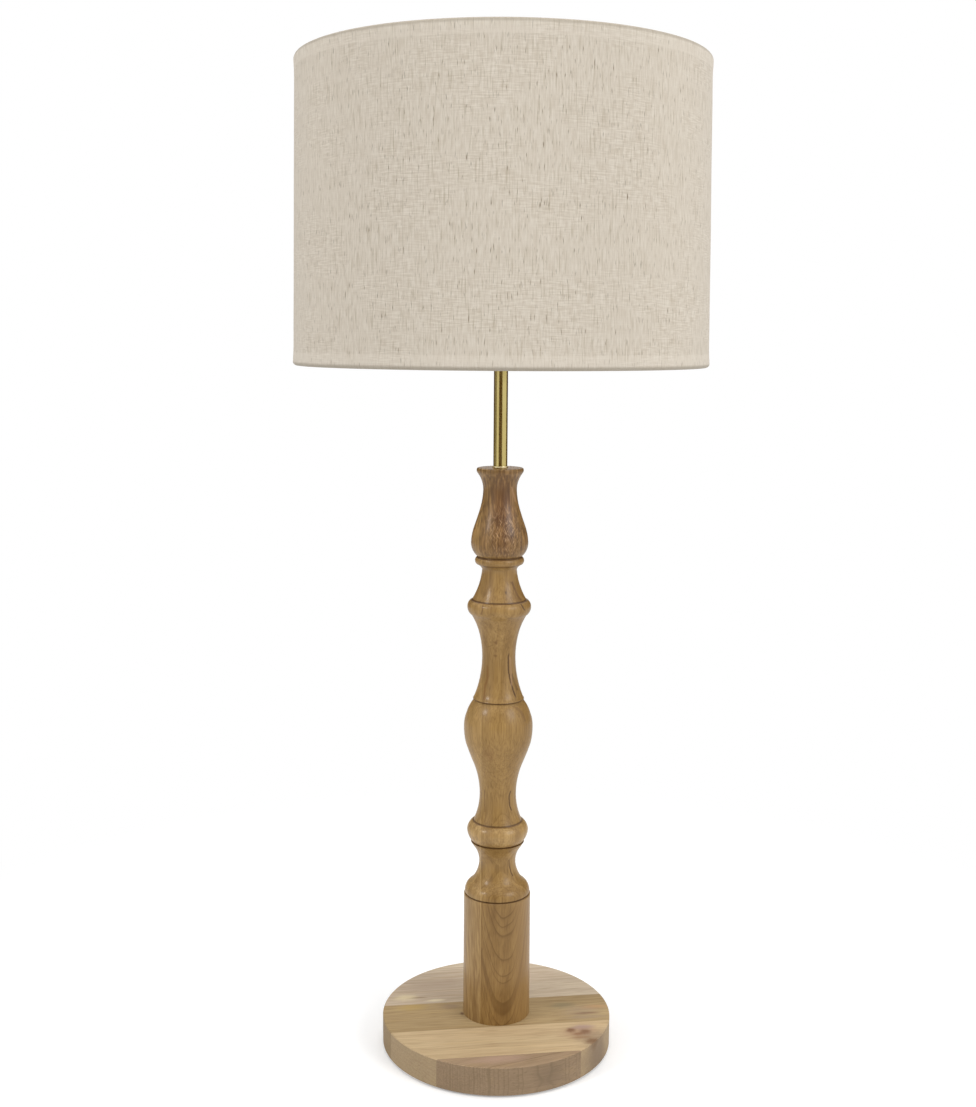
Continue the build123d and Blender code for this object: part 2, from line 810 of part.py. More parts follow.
def spider_hub():
    """Flat ring at the middle of the spider, over the harp's stud."""
    return tube(hub_radius, stud_radius + hub_gap, hub_z, hub_top)


def spider_arm():
    """One wire arm along +X: flat on the hub, then bent up to the top ring."""
    low = hub_top + frame_wire_radius
    end = top_ring_radius
    route = FilletPolyline(
        (arm_inner_radius, low),
        (end - arm_bend_run, low),
        (end, top_ring_z),
        radius=arm_bend_radius,
    )
    section = Plane(origin=(arm_inner_radius, 0, low), z_dir=(1, 0, 0)) * Circle(frame_wire_radius)
    return sweep(section, path=Plane.XZ * route)


def spider_arms():
    """Three arms, each shaped to the ring that it is welded to."""
    arm = spider_arm() - frame_ring(top_ring_radius, top_ring_z)
    arm = arm.solids().sort_by(SortBy.VOLUME)[-1]
    angles = [arm_first_angle + index * 360 / arm_count for index in range(arm_count)]
    return Compound(children=[Rot(0, 0, angle) * arm for angle in angles])


def shade_liner():
    """Stiff white lining of the shade, between the two edges."""
    low = bottom_ring_z
    high = top_ring_z
    inner = liner_offset + liner_thickness
    return turn_points(
        (cone_radius(low, inner), low),
        (cone_radius(low, liner_offset), low),
        (cone_radius(high, liner_offset), high),
        (cone_radius(high, inner), high),
    )


def rolled_hem(ring_radius, ring_z, side):
    """Cloth rolled over one ring in flats, then a hem turned in along the inside."""
    inner = frame_wire_radius + hem_gap
    outer = inner + cloth_thickness
    flat = tan(radians(22.5))
    corner = outer * (1 - flat)
    hem_z = ring_z - side * hem_length
    return turn_points(
        (ring_radius + ring_offset, ring_z),
        (ring_radius + ring_offset, ring_z + side * (outer - corner)),
        (ring_radius + ring_offset - corner, ring_z + side * outer),
        (ring_radius - outer + corner, ring_z + side * outer),
        (ring_radius - outer, ring_z + side * (outer - corner)),
        (ring_radius - outer, hem_z),
        (ring_radius - inner, hem_z),
        (ring_radius - inner, ring_z + side * inner * flat),
        (ring_radius - inner * flat, ring_z + side * inner),
        (ring_radius + inner * flat, ring_z + side * inner),
        (ring_radius + inner, ring_z + side * inner * flat),
        (ring_radius + inner, ring_z),
    )


def shade_cloth():
    """Cloth skin of the shade: the tapered side, a hem over each ring and a notch for each arm."""
    low = bottom_ring_z
    high = top_ring_z
    cloth = turn_points(
        (cone_radius(low, cloth_thickness), low),
        (cone_radius(low, 0), low),
        (cone_radius(high, 0), high),
        (cone_radius(high, cloth_thickness), high),
    )
    cloth += rolled_hem(top_ring_radius, high, 1)
    cloth += rolled_hem(bottom_ring_radius, low, -1)
    notch_low = high - hem_length - 1.0
    notch_high = high + arm_notch_rise
    middle = (notch_low + notch_high) / 2
    notch = Box(4 * frame_wire_radius, 2 * (frame_wire_radius + arm_notch_gap), notch_high - notch_low)
    notch = Pos(top_ring_radius - 2 * frame_wire_radius, 0, middle) * notch
    for index in range(arm_count):
        cloth -= Rot(0, 0, arm_first_angle + index * 360 / arm_count) * notch
    return cloth


# ---------------------------------------------------------------- finial
def finial_ferrule():
    """Threaded foot of the finial, flat on the hub."""
    bore = stud_radius + finial_fit
    z = hub_top
    return turn_points(
        (bore, z),
        (ferrule_radius, z),
        (ferrule_radius, z + ferrule_flange),
        (ferrule_neck_radius, z + ferrule_flange),
        (ferrule_neck_radius, z + ferrule_height),
        (bore, z + ferrule_height),
    )


def finial_ball():
    """Turned brass ball on a short neck, pressed over the ferrule."""
    z = hub_top
    flange_z = z + ferrule_flange
    neck_z = z + ball_neck_height
    middle_z = z + ball_height
    bore_end = stud_top + finial_end_gap
    angle = asin(ball_neck_radius / ball_radius)
    join_z = middle_z - ball_radius * cos(angle)
    ferrule_end = z + ferrule_height
    return turn(
        Line((ferrule_neck_radius, flange_z), (ferrule_radius - 0.4, flange_z)),
        SagittaArc((ferrule_radius - 0.4, flange_z), (ball_neck_radius, neck_z), 0.5),
        Line((ball_neck_radius, neck_z), (ball_neck_radius, join_z)),
        ThreePointArc((ball_neck_radius, join_z), (ball_radius, middle_z), (0, middle_z + ball_radius)),
        Polyline((0, middle_z + ball_radius), (0, bore_end), (stud_radius + 0.1, bore_end),
                 (stud_radius + 0.1, ferrule_end), (ferrule_neck_radius, ferrule_end),
                 (ferrule_neck_radius, flange_z)),
    )


# ---------------------------------------------------------------- writing the pieces
blank = base_blank()
pieces = {
    "felt_pad": felt_pad(),
    "base_board_front": base_board(blank, -base_radius - 1.0, seam_front),
    "base_board_middle": base_board(blank, seam_front, seam_middle),
    "base_board_centre": base_board(blank, seam_middle, seam_back),
    "base_board_back": base_board(blank, seam_back, base_radius + 1.0),
    "cord_bush": cord_bush(),
    "base_washer": base_washer(),
    "base_lock_washer": base_lock_washer(),
    "base_nut": hex_nut(base_nut_z),
    "column": column(),
    "stand_pipe": stand_pipe(),
    "pipe_collar": pipe_collar(),
    "saddle_nut": hex_nut(saddle_nut_z),
    "harp_saddle": harp_saddle(),
    "socket_cap": socket_cap(),
    "cap_set_screw": cap_set_screw(),
    "socket_shell": socket_shell(),
    "socket_sleeve": socket_sleeve(),
    "socket_core": socket_core(),
    "terminal_screws": terminal_screws(),
    "screw_shell": screw_shell(),
    "centre_contact": centre_contact(),
    "switch_shaft": switch_shaft(),
    "switch_key": switch_key(),
    "bulb_tip": bulb_tip(),
    "bulb_insulator": bulb_insulator(),
    "bulb_cap": bulb_cap(),
    "bulb_glass": bulb_glass(),
    "harp_wire": harp_wire(),
    "harp_stud": harp_stud(),
    "harp_sleeve_left": harp_sleeve(-1),
    "harp_sleeve_right": harp_sleeve(1),
    "spider_hub": spider_hub(),
    "spider_arms": spider_arms(),
    "shade_top_ring": frame_ring(top_ring_radius, top_ring_z),
    "shade_bottom_ring": frame_ring(bottom_ring_radius, bottom_ring_z),
    "shade_liner": shade_liner(),
    "shade_cloth": shade_cloth(),
    "finial_ferrule": finial_ferrule(),
    "finial_ball": finial_ball(),
}

os.makedirs("parts", exist_ok=True)
for name, piece in pieces.items():
    export_step(piece, f"parts/{name}.step")
    solids = piece.solids()
    box = piece.bounding_box()
    print(f"{name}: {len(solids)} solid(s), z {box.min.Z:.1f} to {box.max.Z:.1f}")
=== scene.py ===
# %% [markdown]
# # A column table lamp: turned wood, brass and linen
# The lamp has a turned wooden column on a round base of four glued boards, a polished brass pipe
# through both, a lampholder and an opal bulb, a wire harp, and a linen drum shade that a brass
# finial holds down. The CAD model fixes every size. This lesson loads it as a frame, gives its
# pieces their finishes, and remakes the pieces that need a finer shape: the column, the cloth, the
# felt, the threads and the finial. Lengths are in metres, unless a name ends in _mm.

# %% Load the frame
from math import cos, pi, radians, sin

import bmesh
import bpy
import numpy as np
from mathutils import Matrix, Vector


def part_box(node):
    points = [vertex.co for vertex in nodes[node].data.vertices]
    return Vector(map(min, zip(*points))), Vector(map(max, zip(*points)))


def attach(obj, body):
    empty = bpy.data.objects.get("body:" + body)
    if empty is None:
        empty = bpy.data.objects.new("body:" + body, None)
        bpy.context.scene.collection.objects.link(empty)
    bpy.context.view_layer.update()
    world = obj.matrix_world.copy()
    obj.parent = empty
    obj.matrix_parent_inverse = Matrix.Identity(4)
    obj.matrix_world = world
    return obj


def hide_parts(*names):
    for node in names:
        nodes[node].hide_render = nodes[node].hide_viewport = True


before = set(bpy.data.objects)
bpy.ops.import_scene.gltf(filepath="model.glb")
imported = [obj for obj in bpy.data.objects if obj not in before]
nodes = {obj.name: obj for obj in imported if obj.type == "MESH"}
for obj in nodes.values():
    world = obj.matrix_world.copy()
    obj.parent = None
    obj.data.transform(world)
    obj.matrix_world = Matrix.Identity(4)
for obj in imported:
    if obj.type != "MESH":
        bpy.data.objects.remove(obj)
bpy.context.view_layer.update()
scene = bpy.context.scene
mm = 0.001

# %% [markdown]
# ## Helpers
# Colours are written as sRGB hex values, as on a paint chart, and Blender wants linear light, so one
# function converts them. Another adds a node to a tree, sets it up and links it, so that a shader or
# a geometry tree reads as a list of what it does. A finish is then built as a painter builds it: a
# base colour, thin coats over it where some field is strong, and a little relief at the end.


# %% Colour, node and material helpers
def linear(hex_code):
    """An sRGB hex colour as linear red, green, blue and alpha."""
    parts = [int(hex_code[i:i + 2], 16) / 255 for i in (0, 2, 4)]
    return [c / 12.92 if c <= 0.04045 else ((c + 0.055) / 1.055) ** 2.4 for c in parts] + [1.0]


def add_node(tree, kind, inputs=(), **settings):
    """Adds a node, sets it up, and gives each input a value or a link."""
    # A kind goes without its prefix, and "Math ADD" stands for a Math node that adds.
    kind, _, operation = kind.partition(" ")
    if operation:
        settings["operation"] = operation
    kinds = [prefix + kind for prefix in ("ShaderNode", "GeometryNode", "Node")]
    node = tree.nodes.new(next(name for name in kinds if hasattr(bpy.types, name)))
    for name, value in settings.items():
        setattr(node, name, value)
    for name, value in dict(inputs).items():
        if isinstance(value, bpy.types.Node):
            value = value.outputs[0]
        if isinstance(value, bpy.types.NodeSocket):
            tree.links.new(value, node.inputs[name])
        else:
            node.inputs[name].default_value = value
    return node


def start_material(name, constants):
    """A material of one Principled shader whose constants are set on its sockets, and its tree."""
    material = bpy.data.materials.new(name)
    material.use_nodes = True
    shader = material.node_tree.nodes["Principled BSDF"]
    for socket, value in constants.items():
        shader.inputs[socket].default_value = value
    return material, material.node_tree, shader


def coat(tree, colour, field, low, high, share, hex_code, area=None, **settings):
    """Covers a colour with another as a field goes from low to high, up to a share, in an area."""
    cover = add_node(
        tree, "MapRange", {"Value": field, "From Min": low, "From Max": high, "To Max": share}, **settings)
    if area is not None:
        cover = add_node(tree, "Math MULTIPLY", {0: cover, 1: area})
    mixed = add_node(tree, "Mix", {0: cover, 6: colour, 7: linear(hex_code)}, data_type="RGBA")
    return mixed.outputs[2]


def finish(tree, shader, colour, height, strength, depth_mm):
    """Links the last coat to the shader, and a height field as fine relief, if it has a depth."""
    tree.links.new(colour, shader.inputs["Base Color"])
    if depth_mm:
        relief = add_node(tree, "Bump", {"Strength": strength, "Distance": depth_mm * mm, "Height": height})
        tree.links.new(relief.outputs[0], shader.inputs["Normal"])


print("mid grey is", round(linear("808080")[0], 3), "in linear light")

# %% [markdown]
# ## Camera
# The photograph was taken from about a metre in front of the lamp, half a metre up, looking a little
# down. The shade's two ellipses, the base's ellipse and the upright sides fix such a camera: its
# distance, height, tilt and focal length. A guessed lens would never match all four at once. The
# picture is 976 by 1107, and the focal length is measured in its pixels.

# %% Camera
picture_height_px = 1107
focal_px = 1407.0
eye = Vector((0.0, -1.03253, 0.54575))
pitch, roll, yaw = 0.15469, 0.0062, -0.00834

forward = Vector((sin(yaw) * cos(pitch), cos(yaw) * cos(pitch), -sin(pitch)))
across = Vector((cos(yaw), -sin(yaw), 0.0))
upward = across.cross(forward)
right = across * cos(roll) + upward * sin(roll)
up = upward * cos(roll) - across * sin(roll)
lens = bpy.data.cameras.new("camera")
lens.sensor_fit = "VERTICAL"
lens.sensor_height = 36.0
lens.lens = focal_px / picture_height_px * lens.sensor_height
lens.clip_start, lens.clip_end = 0.01, 50.0
camera = bpy.data.objects.new("camera", lens)
scene.collection.objects.link(camera)
camera.matrix_world = Matrix.Translation(eye) @ Matrix((right, up, -forward)).transposed().to_4x4()
scene.camera = camera
scene.view_settings.view_transform = "Standard"
print("lens", round(lens.lens, 2), "mm on a sensor 36 mm tall")

# %% [markdown]
# ## Studio
# The lamp stands in a white studio with soft light from both sides and from above. The world and
# the floor are pure white only to the camera and in reflections, which keeps the light on the lamp
# plain. Near the lamp the floor is a real white surface that takes its shadow. In a room that is
# white all round, polished brass has nothing to reflect and looks like plastic. So three dark cards
# and a grey one, which only reflections can see, draw the dark stripes on it, as a photographer's
# flags do.


# %% World
ambient_light = 0.50


def seen_directly(tree):
    """1 for rays from the camera, reflections and transmission, else 0."""
    path = add_node(tree, "LightPath")
    either = add_node(tree, "Math ADD", {0: path.outputs["Is Camera Ray"], 1: path.outputs["Is Glossy Ray"]})
    return add_node(tree, "Math ADD", {0: either, 1: path.outputs["Is Transmission Ray"]}, use_clamp=True)


world = bpy.data.worlds.new("white_studio")
scene.world = world
world.use_nodes = True
strength = add_node(world.node_tree, "MapRange",
                    {"Value": seen_directly(world.node_tree), "To Min": ambient_light, "To Max": 1.0})
background = world.node_tree.nodes["Background"]
background.inputs["Color"].default_value = (1.0, 1.0, 1.0, 1.0)
world.node_tree.links.new(strength.outputs[0], background.inputs["Strength"])
print("world gives", ambient_light, "of the white that the camera sees")

# %% Floor
# Matt white paint: it shows no reflection of the lamp, only its shadow.
floor_albedo = 0.82
floor_lift = 0.27
shadow_reach = (0.30, 0.62)
floor_size = 14.0
floor_paint, tree, shader = start_material("white_studio_floor", {})
tree.nodes.remove(shader)
direct = seen_directly(tree)
place = add_node(tree, "TexCoord").outputs["Object"]
reach = add_node(tree, "VectorMath LENGTH", {0: place}).outputs["Value"]
far = add_node(tree, "MapRange",
               {"Value": reach, "From Min": shadow_reach[0], "From Max": shadow_reach[1]},
               interpolation_type="SMOOTHSTEP")
blank = add_node(tree, "Math MULTIPLY", {0: far, 1: direct})
paint = add_node(tree, "MapRange", {"Value": blank, "To Min": floor_albedo, "To Max": 0.0})
lift = add_node(tree, "MapRange", {"Value": far, "To Min": floor_lift, "To Max": 1.0})
glow = add_node(tree, "Math MULTIPLY", {0: lift, 1: direct})
matt = add_node(tree, "BsdfDiffuse", {"Color": paint})
shine = add_node(tree, "Emission", {"Strength": glow})
both = add_node(tree, "AddShader", {0: matt, 1: shine})
tree.links.new(both.outputs[0], tree.nodes["Material Output"].inputs["Surface"])


def flat_card(name, centre, width, height, facing, material):
    """A flat rectangle in the studio, facing a point."""
    mesh = bpy.data.meshes.new(name)
    corners = [(x * width / 2, y * height / 2, 0) for x, y in ((-1, -1), (1, -1), (1, 1), (-1, 1))]
    mesh.from_pydata(corners, [], [(0, 1, 2, 3)])
    card = bpy.data.objects.new(name, mesh)
    scene.collection.objects.link(card)
    look = Vector(facing) - Vector(centre)
    card.matrix_world = Matrix.Translation(centre) @ look.to_track_quat("Z", "Y").to_matrix().to_4x4()
    mesh.materials.append(material)
    return card


flat_card("studio_floor", (0, 0, 0), floor_size, floor_size, (0, 0, 1), floor_paint)
print("floor", floor_size, "m across; its shadow fades from", shadow_reach[0], "to", shadow_reach[1], "m")

# %% Flags and soft lights
# Matt cloth and card have no shine of their own, so the brass shows each as one even stripe.
no_shine = {"Roughness": 1.0, "Specular IOR Level": 0.0}
flag_cloth, tree, shader = start_material("flag_cloth_matt_brown", no_shine)
shader.inputs["Base Color"].default_value = linear("6E5636")
grey_card, tree, shader = start_material("grey_card_matt", no_shine)
shader.inputs["Base Color"].default_value = linear("A9A296")
flags = (
    ("flag_front", (-0.05, -2.2, 0.9), 2.3, flag_cloth),
    ("flag_left", (-2.3, 0.1, 0.9), 2.2, grey_card),
    ("flag_back_left", (-1.7, 2.3, 0.9), 3.4, flag_cloth),
    ("flag_back_right", (1.9, 2.0, 0.9), 3.4, flag_cloth),
)
flag_height = 2.4
for name, centre, width, material in flags:
    flag = flat_card(name, centre, width, flag_height, (0, 0, centre[2]), material)
    flag.visible_camera = flag.visible_diffuse = flag.visible_shadow = False
    flag.visible_transmission = flag.visible_volume_scatter = False

lights = (  # name, place, target, size in m, power in W
    ("softbox_right", (1.70, -1.30, 1.55), (0, 0, 0.36), 1.1, 24.0),
    ("softbox_left", (-1.75, -1.05, 1.65), (0, 0, 0.36), 0.5, 18.0),
    ("overhead", (0.15, 0.10, 2.2), (0, 0, 0.0), 1.4, 17.0),
)
for name, centre, target, size, power in lights:
    light = bpy.data.lights.new(name, "AREA")
    light.size = size
    light.energy = power
    lamp = bpy.data.objects.new(name, light)
    scene.collection.objects.link(lamp)
    aim = Vector(target) - Vector(centre)
    lamp.matrix_world = Matrix.Translation(centre) @ aim.to_track_quat("-Z", "Y").to_matrix().to_4x4()
print("lights", len(lights), "flags", len(flags))

# %% [markdown]
# ## A tree that turns a piece
# A lathe makes a piece from one outline. A Screw modifier could turn it too, but it can't cut a
# thread or swell cloth on the way, so the rule is written as a tree: a grid has one row of points
# for each point of the outline, and the tree wraps it round the Z axis. The CAD node's own mesh
# gives the outline, so the turned piece has exactly its size, with many more faces round it.


# %% Outlines
def walk(points, pairs):
    """Joins points in the order in which pairs link them, bridging gaps between loose ends."""
    beside = {}
    for a, b in pairs:
        beside.setdefault(a, set()).add(b)
        beside.setdefault(b, set()).add(a)
    left = set(beside)
    ends = [p for p in left if len(beside[p]) == 1]
    here = min(ends or left, key=lambda p: (points[p][0], points[p][1]))
    order = [here]
    left.remove(here)
    while left:
        near = [p for p in beside[here] if p in left]
        pool = near or [p for p in left if len(beside[p]) == 1] or list(left)
        here = min(pool, key=lambda p: np.hypot(*(points[p] - points[order[-1]])))
        order.append(here)
        left.remove(here)
    return order


def node_outline(name):
    """The (radius, height) outline of a turned CAD node, where its mesh crosses Y = 0 at +X."""
    mesh = nodes[name].data
    places = np.array([v.co[:] for v in mesh.vertices])
    keys = [tuple(k) for k in np.round(places * 1e6).astype(int)]
    on = [abs(p[1]) < 2e-7 and p[0] > -1e-7 for p in places]
    number = {}
    points = []
    for key, place, is_on in zip(keys, places, on):
        if is_on and key not in number:
            number[key] = len(points)
            points.append(np.array((max(place[0], 0.0), place[2])))
    pairs = set()
    for edge in mesh.edges:
        a, b = edge.vertices
        if on[a] and on[b] and keys[a] != keys[b]:
            pairs.add(tuple(sorted((number[keys[a]], number[keys[b]]))))
    return [points[i] for i in walk(points, pairs)]


def divided(outline, step, low, high):
    """The outline with its long runs divided, where they are between two heights."""
    result = [outline[0]]
    for point in outline[1:]:
        start = result[-1]
        inside = low <= (start[1] + point[1]) / 2 <= high
        parts = max(1, int(np.ceil(np.hypot(*(point - start)) / step))) if inside else 1
        for part in range(1, parts + 1):
            result.append(start + (point - start) * part / parts)
    return result


column_outline = node_outline("column")
print("column outline", len(column_outline), "points")

# %% The turning tree: its inputs, and the grid that takes the outline's points
turning = bpy.data.node_groups.new("turned_piece", "GeometryNodeTree")
sizes = {"Sharp Angle": radians(32), "Thread Depth": 0.0, "Thread Pitch": 0.001, "Thread Low": 0.0,
         "Thread High": 0.0, "Ripple": 0.0, "Ripple Size": 0.05, "Lap": 0.0, "Lap Width": 0.01}
for label, side, kind in (("Geometry", "INPUT", "Geometry"), ("Segments", "INPUT", "Int"),
                          *((label, "INPUT", "Float") for label in sizes),
                          ("Material", "INPUT", "Material"), ("Geometry", "OUTPUT", "Geometry")):
    socket = turning.interface.new_socket(label, in_out=side, socket_type="NodeSocket" + kind)
    if label in sizes:
        socket.default_value = sizes[label]

given = add_node(turning, "GroupInput").outputs
size = add_node(turning, "AttributeDomainSize", {0: given["Geometry"]})
count = size.outputs["Point Count"]
columns = add_node(turning, "Math ADD", {0: given["Segments"], 1: 1.0})
grid = add_node(turning, "MeshGrid", {"Vertices X": columns, "Vertices Y": count})
number = add_node(turning, "InputIndex")
row = add_node(turning, "Math FLOORED_MODULO", {0: number, 1: count})
share = add_node(turning, "Math DIVIDE", {0: number, 1: count})
step = add_node(turning, "Math FLOOR", {0: share})
turns = add_node(turning, "Math DIVIDE", {0: step, 1: given["Segments"]})
angle = add_node(turning, "Math MULTIPLY_ADD", {0: turns, 1: 2 * pi, 2: pi / 2})
where = add_node(turning, "InputPosition")
point = add_node(turning, "SampleIndex", {"Geometry": given["Geometry"], "Value": where, "Index": row},
                 data_type="FLOAT_VECTOR")
outline = add_node(turning, "SeparateXYZ", {0: point})
radius, height = outline.outputs["X"], outline.outputs["Z"]
print("grid", len(turning.nodes), "nodes,", len(sizes) + 1, "numbers to set")

# %% The tree's thread: a wave that climbs one pitch in each turn, faded at both ends
climb = add_node(turning, "Math DIVIDE", {0: height, 1: given["Thread Pitch"]})
phase = add_node(turning, "Math SUBTRACT", {0: climb, 1: turns})
wave_angle = add_node(turning, "Math MULTIPLY", {0: phase, 1: 2 * pi})
wave = add_node(turning, "Math COSINE", {0: wave_angle})
groove = add_node(turning, "MapRange", {"Value": wave, "From Min": -1.0, "From Max": 1.0})
enter = add_node(turning, "Math SUBTRACT", {0: height, 1: given["Thread Low"]})
leave = add_node(turning, "Math SUBTRACT", {0: given["Thread High"], 1: height})
inside = add_node(turning, "Math MINIMUM", {0: enter, 1: leave})
fade = add_node(turning, "MapRange", {"Value": inside, "From Max": given["Thread Pitch"]})
cut = add_node(turning, "Math MULTIPLY", {0: groove, 1: fade})
deep = add_node(turning, "Math MULTIPLY", {0: cut, 1: given["Thread Depth"]})
girth = add_node(turning, "Math SUBTRACT", {0: radius, 1: deep})
print("with the thread", len(turning.nodes), "nodes")

# %% The tree's wrap round the axis, with the cloth's ripple and its doubled lap
east = add_node(turning, "Math COSINE", {0: angle})
north = add_node(turning, "Math SINE", {0: angle})
x = add_node(turning, "Math MULTIPLY", {0: girth, 1: east})
y = add_node(turning, "Math MULTIPLY", {0: girth, 1: north})
smooth = add_node(turning, "CombineXYZ", {"X": x, "Y": y, "Z": height})
ripples = add_node(turning, "Math DIVIDE", {0: 1.0, 1: given["Ripple Size"]})
noise = add_node(
    turning, "TexNoise", {"Vector": smooth, "Scale": ripples, "Detail": 1.0}, noise_dimensions="3D")
reach = add_node(turning, "SeparateXYZ", {0: where})
widest = add_node(
    turning, "AttributeStatistic", {"Geometry": given["Geometry"], "Attribute": reach}).outputs["Max"]
full_girth = add_node(turning, "Math MULTIPLY", {0: widest, 1: 2 * pi})
around = add_node(turning, "Math MULTIPLY", {0: turns, 1: full_girth})
doubled = add_node(turning, "Math LESS_THAN", {0: around, 1: given["Lap Width"]})
lap = add_node(turning, "Math MULTIPLY", {0: doubled, 1: given["Lap"]})
offset = add_node(turning, "Math SUBTRACT", {0: noise, 1: 0.5})
push = add_node(turning, "Math MULTIPLY_ADD", {0: offset, 1: given["Ripple"], 2: lap})
outward = add_node(turning, "CombineXYZ", {"X": east, "Y": north})
moved = add_node(turning, "VectorMath SCALE", {0: outward, "Scale": push})
final = add_node(turning, "VectorMath ADD", {0: smooth, 1: moved})
print("with the wrap", len(turning.nodes), "nodes")

# %% The tree's map in metres, for the weave, and its shading
along = add_node(turning, "InputNamedAttribute", {"Name": "along"}, data_type="FLOAT")
run = add_node(
    turning, "SampleIndex", {"Geometry": given["Geometry"], "Value": along, "Index": row}, data_type="FLOAT")
noted = add_node(turning, "StoreNamedAttribute",
                 {"Geometry": grid.outputs["Mesh"], "Name": "run", "Value": run},
                 data_type="FLOAT", domain="POINT")
placed = add_node(turning, "SetPosition", {"Geometry": noted, "Position": final})
flat = add_node(turning, "SeparateXYZ", {0: grid.outputs["UV Map"]})
u = add_node(turning, "Math MULTIPLY", {0: flat.outputs["X"], 1: full_girth})
v = add_node(turning, "InputNamedAttribute", {"Name": "run"}, data_type="FLOAT")
uv = add_node(turning, "CombineXYZ", {"X": u, "Y": v})
mapped = add_node(turning, "StoreNamedAttribute",
                  {"Geometry": placed, "Name": "UVMap", "Value": uv}, data_type="FLOAT2", domain="CORNER")
welded = add_node(turning, "MergeByDistance", {"Geometry": mapped, "Distance": 1e-6})
bend = add_node(turning, "InputMeshEdgeAngle").outputs["Unsigned Angle"]
crisp = add_node(turning, "Math LESS_THAN", {0: bend, 1: given["Sharp Angle"]})
faces = add_node(turning, "SetShadeSmooth", {"Geometry": welded, "Shade Smooth": True}, domain="FACE")
edges = add_node(turning, "SetShadeSmooth", {"Geometry": faces, "Shade Smooth": crisp}, domain="EDGE")
real = add_node(turning, "RealizeInstances", {"Geometry": edges})
coloured = add_node(turning, "SetMaterial", {"Geometry": real, "Material": given["Material"]})
add_node(turning, "GroupOutput", {"Geometry": coloured})
print("turning tree", len(turning.nodes), "nodes")


# %% Run the tree on an outline, and keep a plain mesh
def turned(name, outline, material, closed=True, **values):
    """A turned piece from its outline, whose last point joins its first if it is closed."""
    points = list(outline) + [outline[0]] if closed else list(outline)
    line = bpy.data.meshes.new(name + "_outline")
    line.from_pydata([(r, 0.0, z) for r, z in points], [(i, i + 1) for i in range(len(points) - 1)], [])
    steps = [0.0] + [float(np.hypot(*(np.array(b) - np.array(a)))) for a, b in zip(points, points[1:])]
    lengths = line.attributes.new("along", "FLOAT", "POINT")
    lengths.data.foreach_set("value", np.cumsum(steps).astype(np.float32))
    piece = bpy.data.objects.new(name, line)
    scene.collection.objects.link(piece)
    modifier = piece.modifiers.new("turning", "NODES")
    modifier.node_group = turning
    values = {key.replace("_", " ").title(): value for key, value in values.items()}
    values["Material"] = material
    for item in turning.interface.items_tree:
        if item.item_type == "SOCKET" and item.in_out == "INPUT" and item.name in values:
            modifier[item.identifier] = values[item.name]
    mesh = bpy.data.meshes.new_from_object(piece.evaluated_get(bpy.context.evaluated_depsgraph_get()))
    piece.modifiers.clear()
    piece.data = mesh
    mesh.name = name
    shape = bmesh.new()
    shape.from_mesh(mesh)
    bmesh.ops.dissolve_degenerate(shape, dist=1e-7, edges=shape.edges)
    bmesh.ops.recalc_face_normals(shape, faces=shape.faces)
    shape.to_mesh(mesh)
    shape.free()
    print(name, len(mesh.polygons), "faces")
    return piece


def put_in_place(piece, node, body):
    """Hides the CAD node that a piece stands for, and hangs the piece on its body."""
    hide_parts(node)
    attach(piece, body)


# %% [markdown]
# ## Wood
# A plank is a slice of a tree. A picture of grain could be wrapped round each piece, but it would
# stretch on the curves and stop at the edges. So the grain is drawn in space: growth rings round a
# pith line that lies somewhere outside the piece, bent a little by slow noise, with fine fibres
# along it. Whatever surface cuts through that space then shows the right figure by itself: straight
# lines where the cut runs along the rings, and nested arches where it is tangent to them.


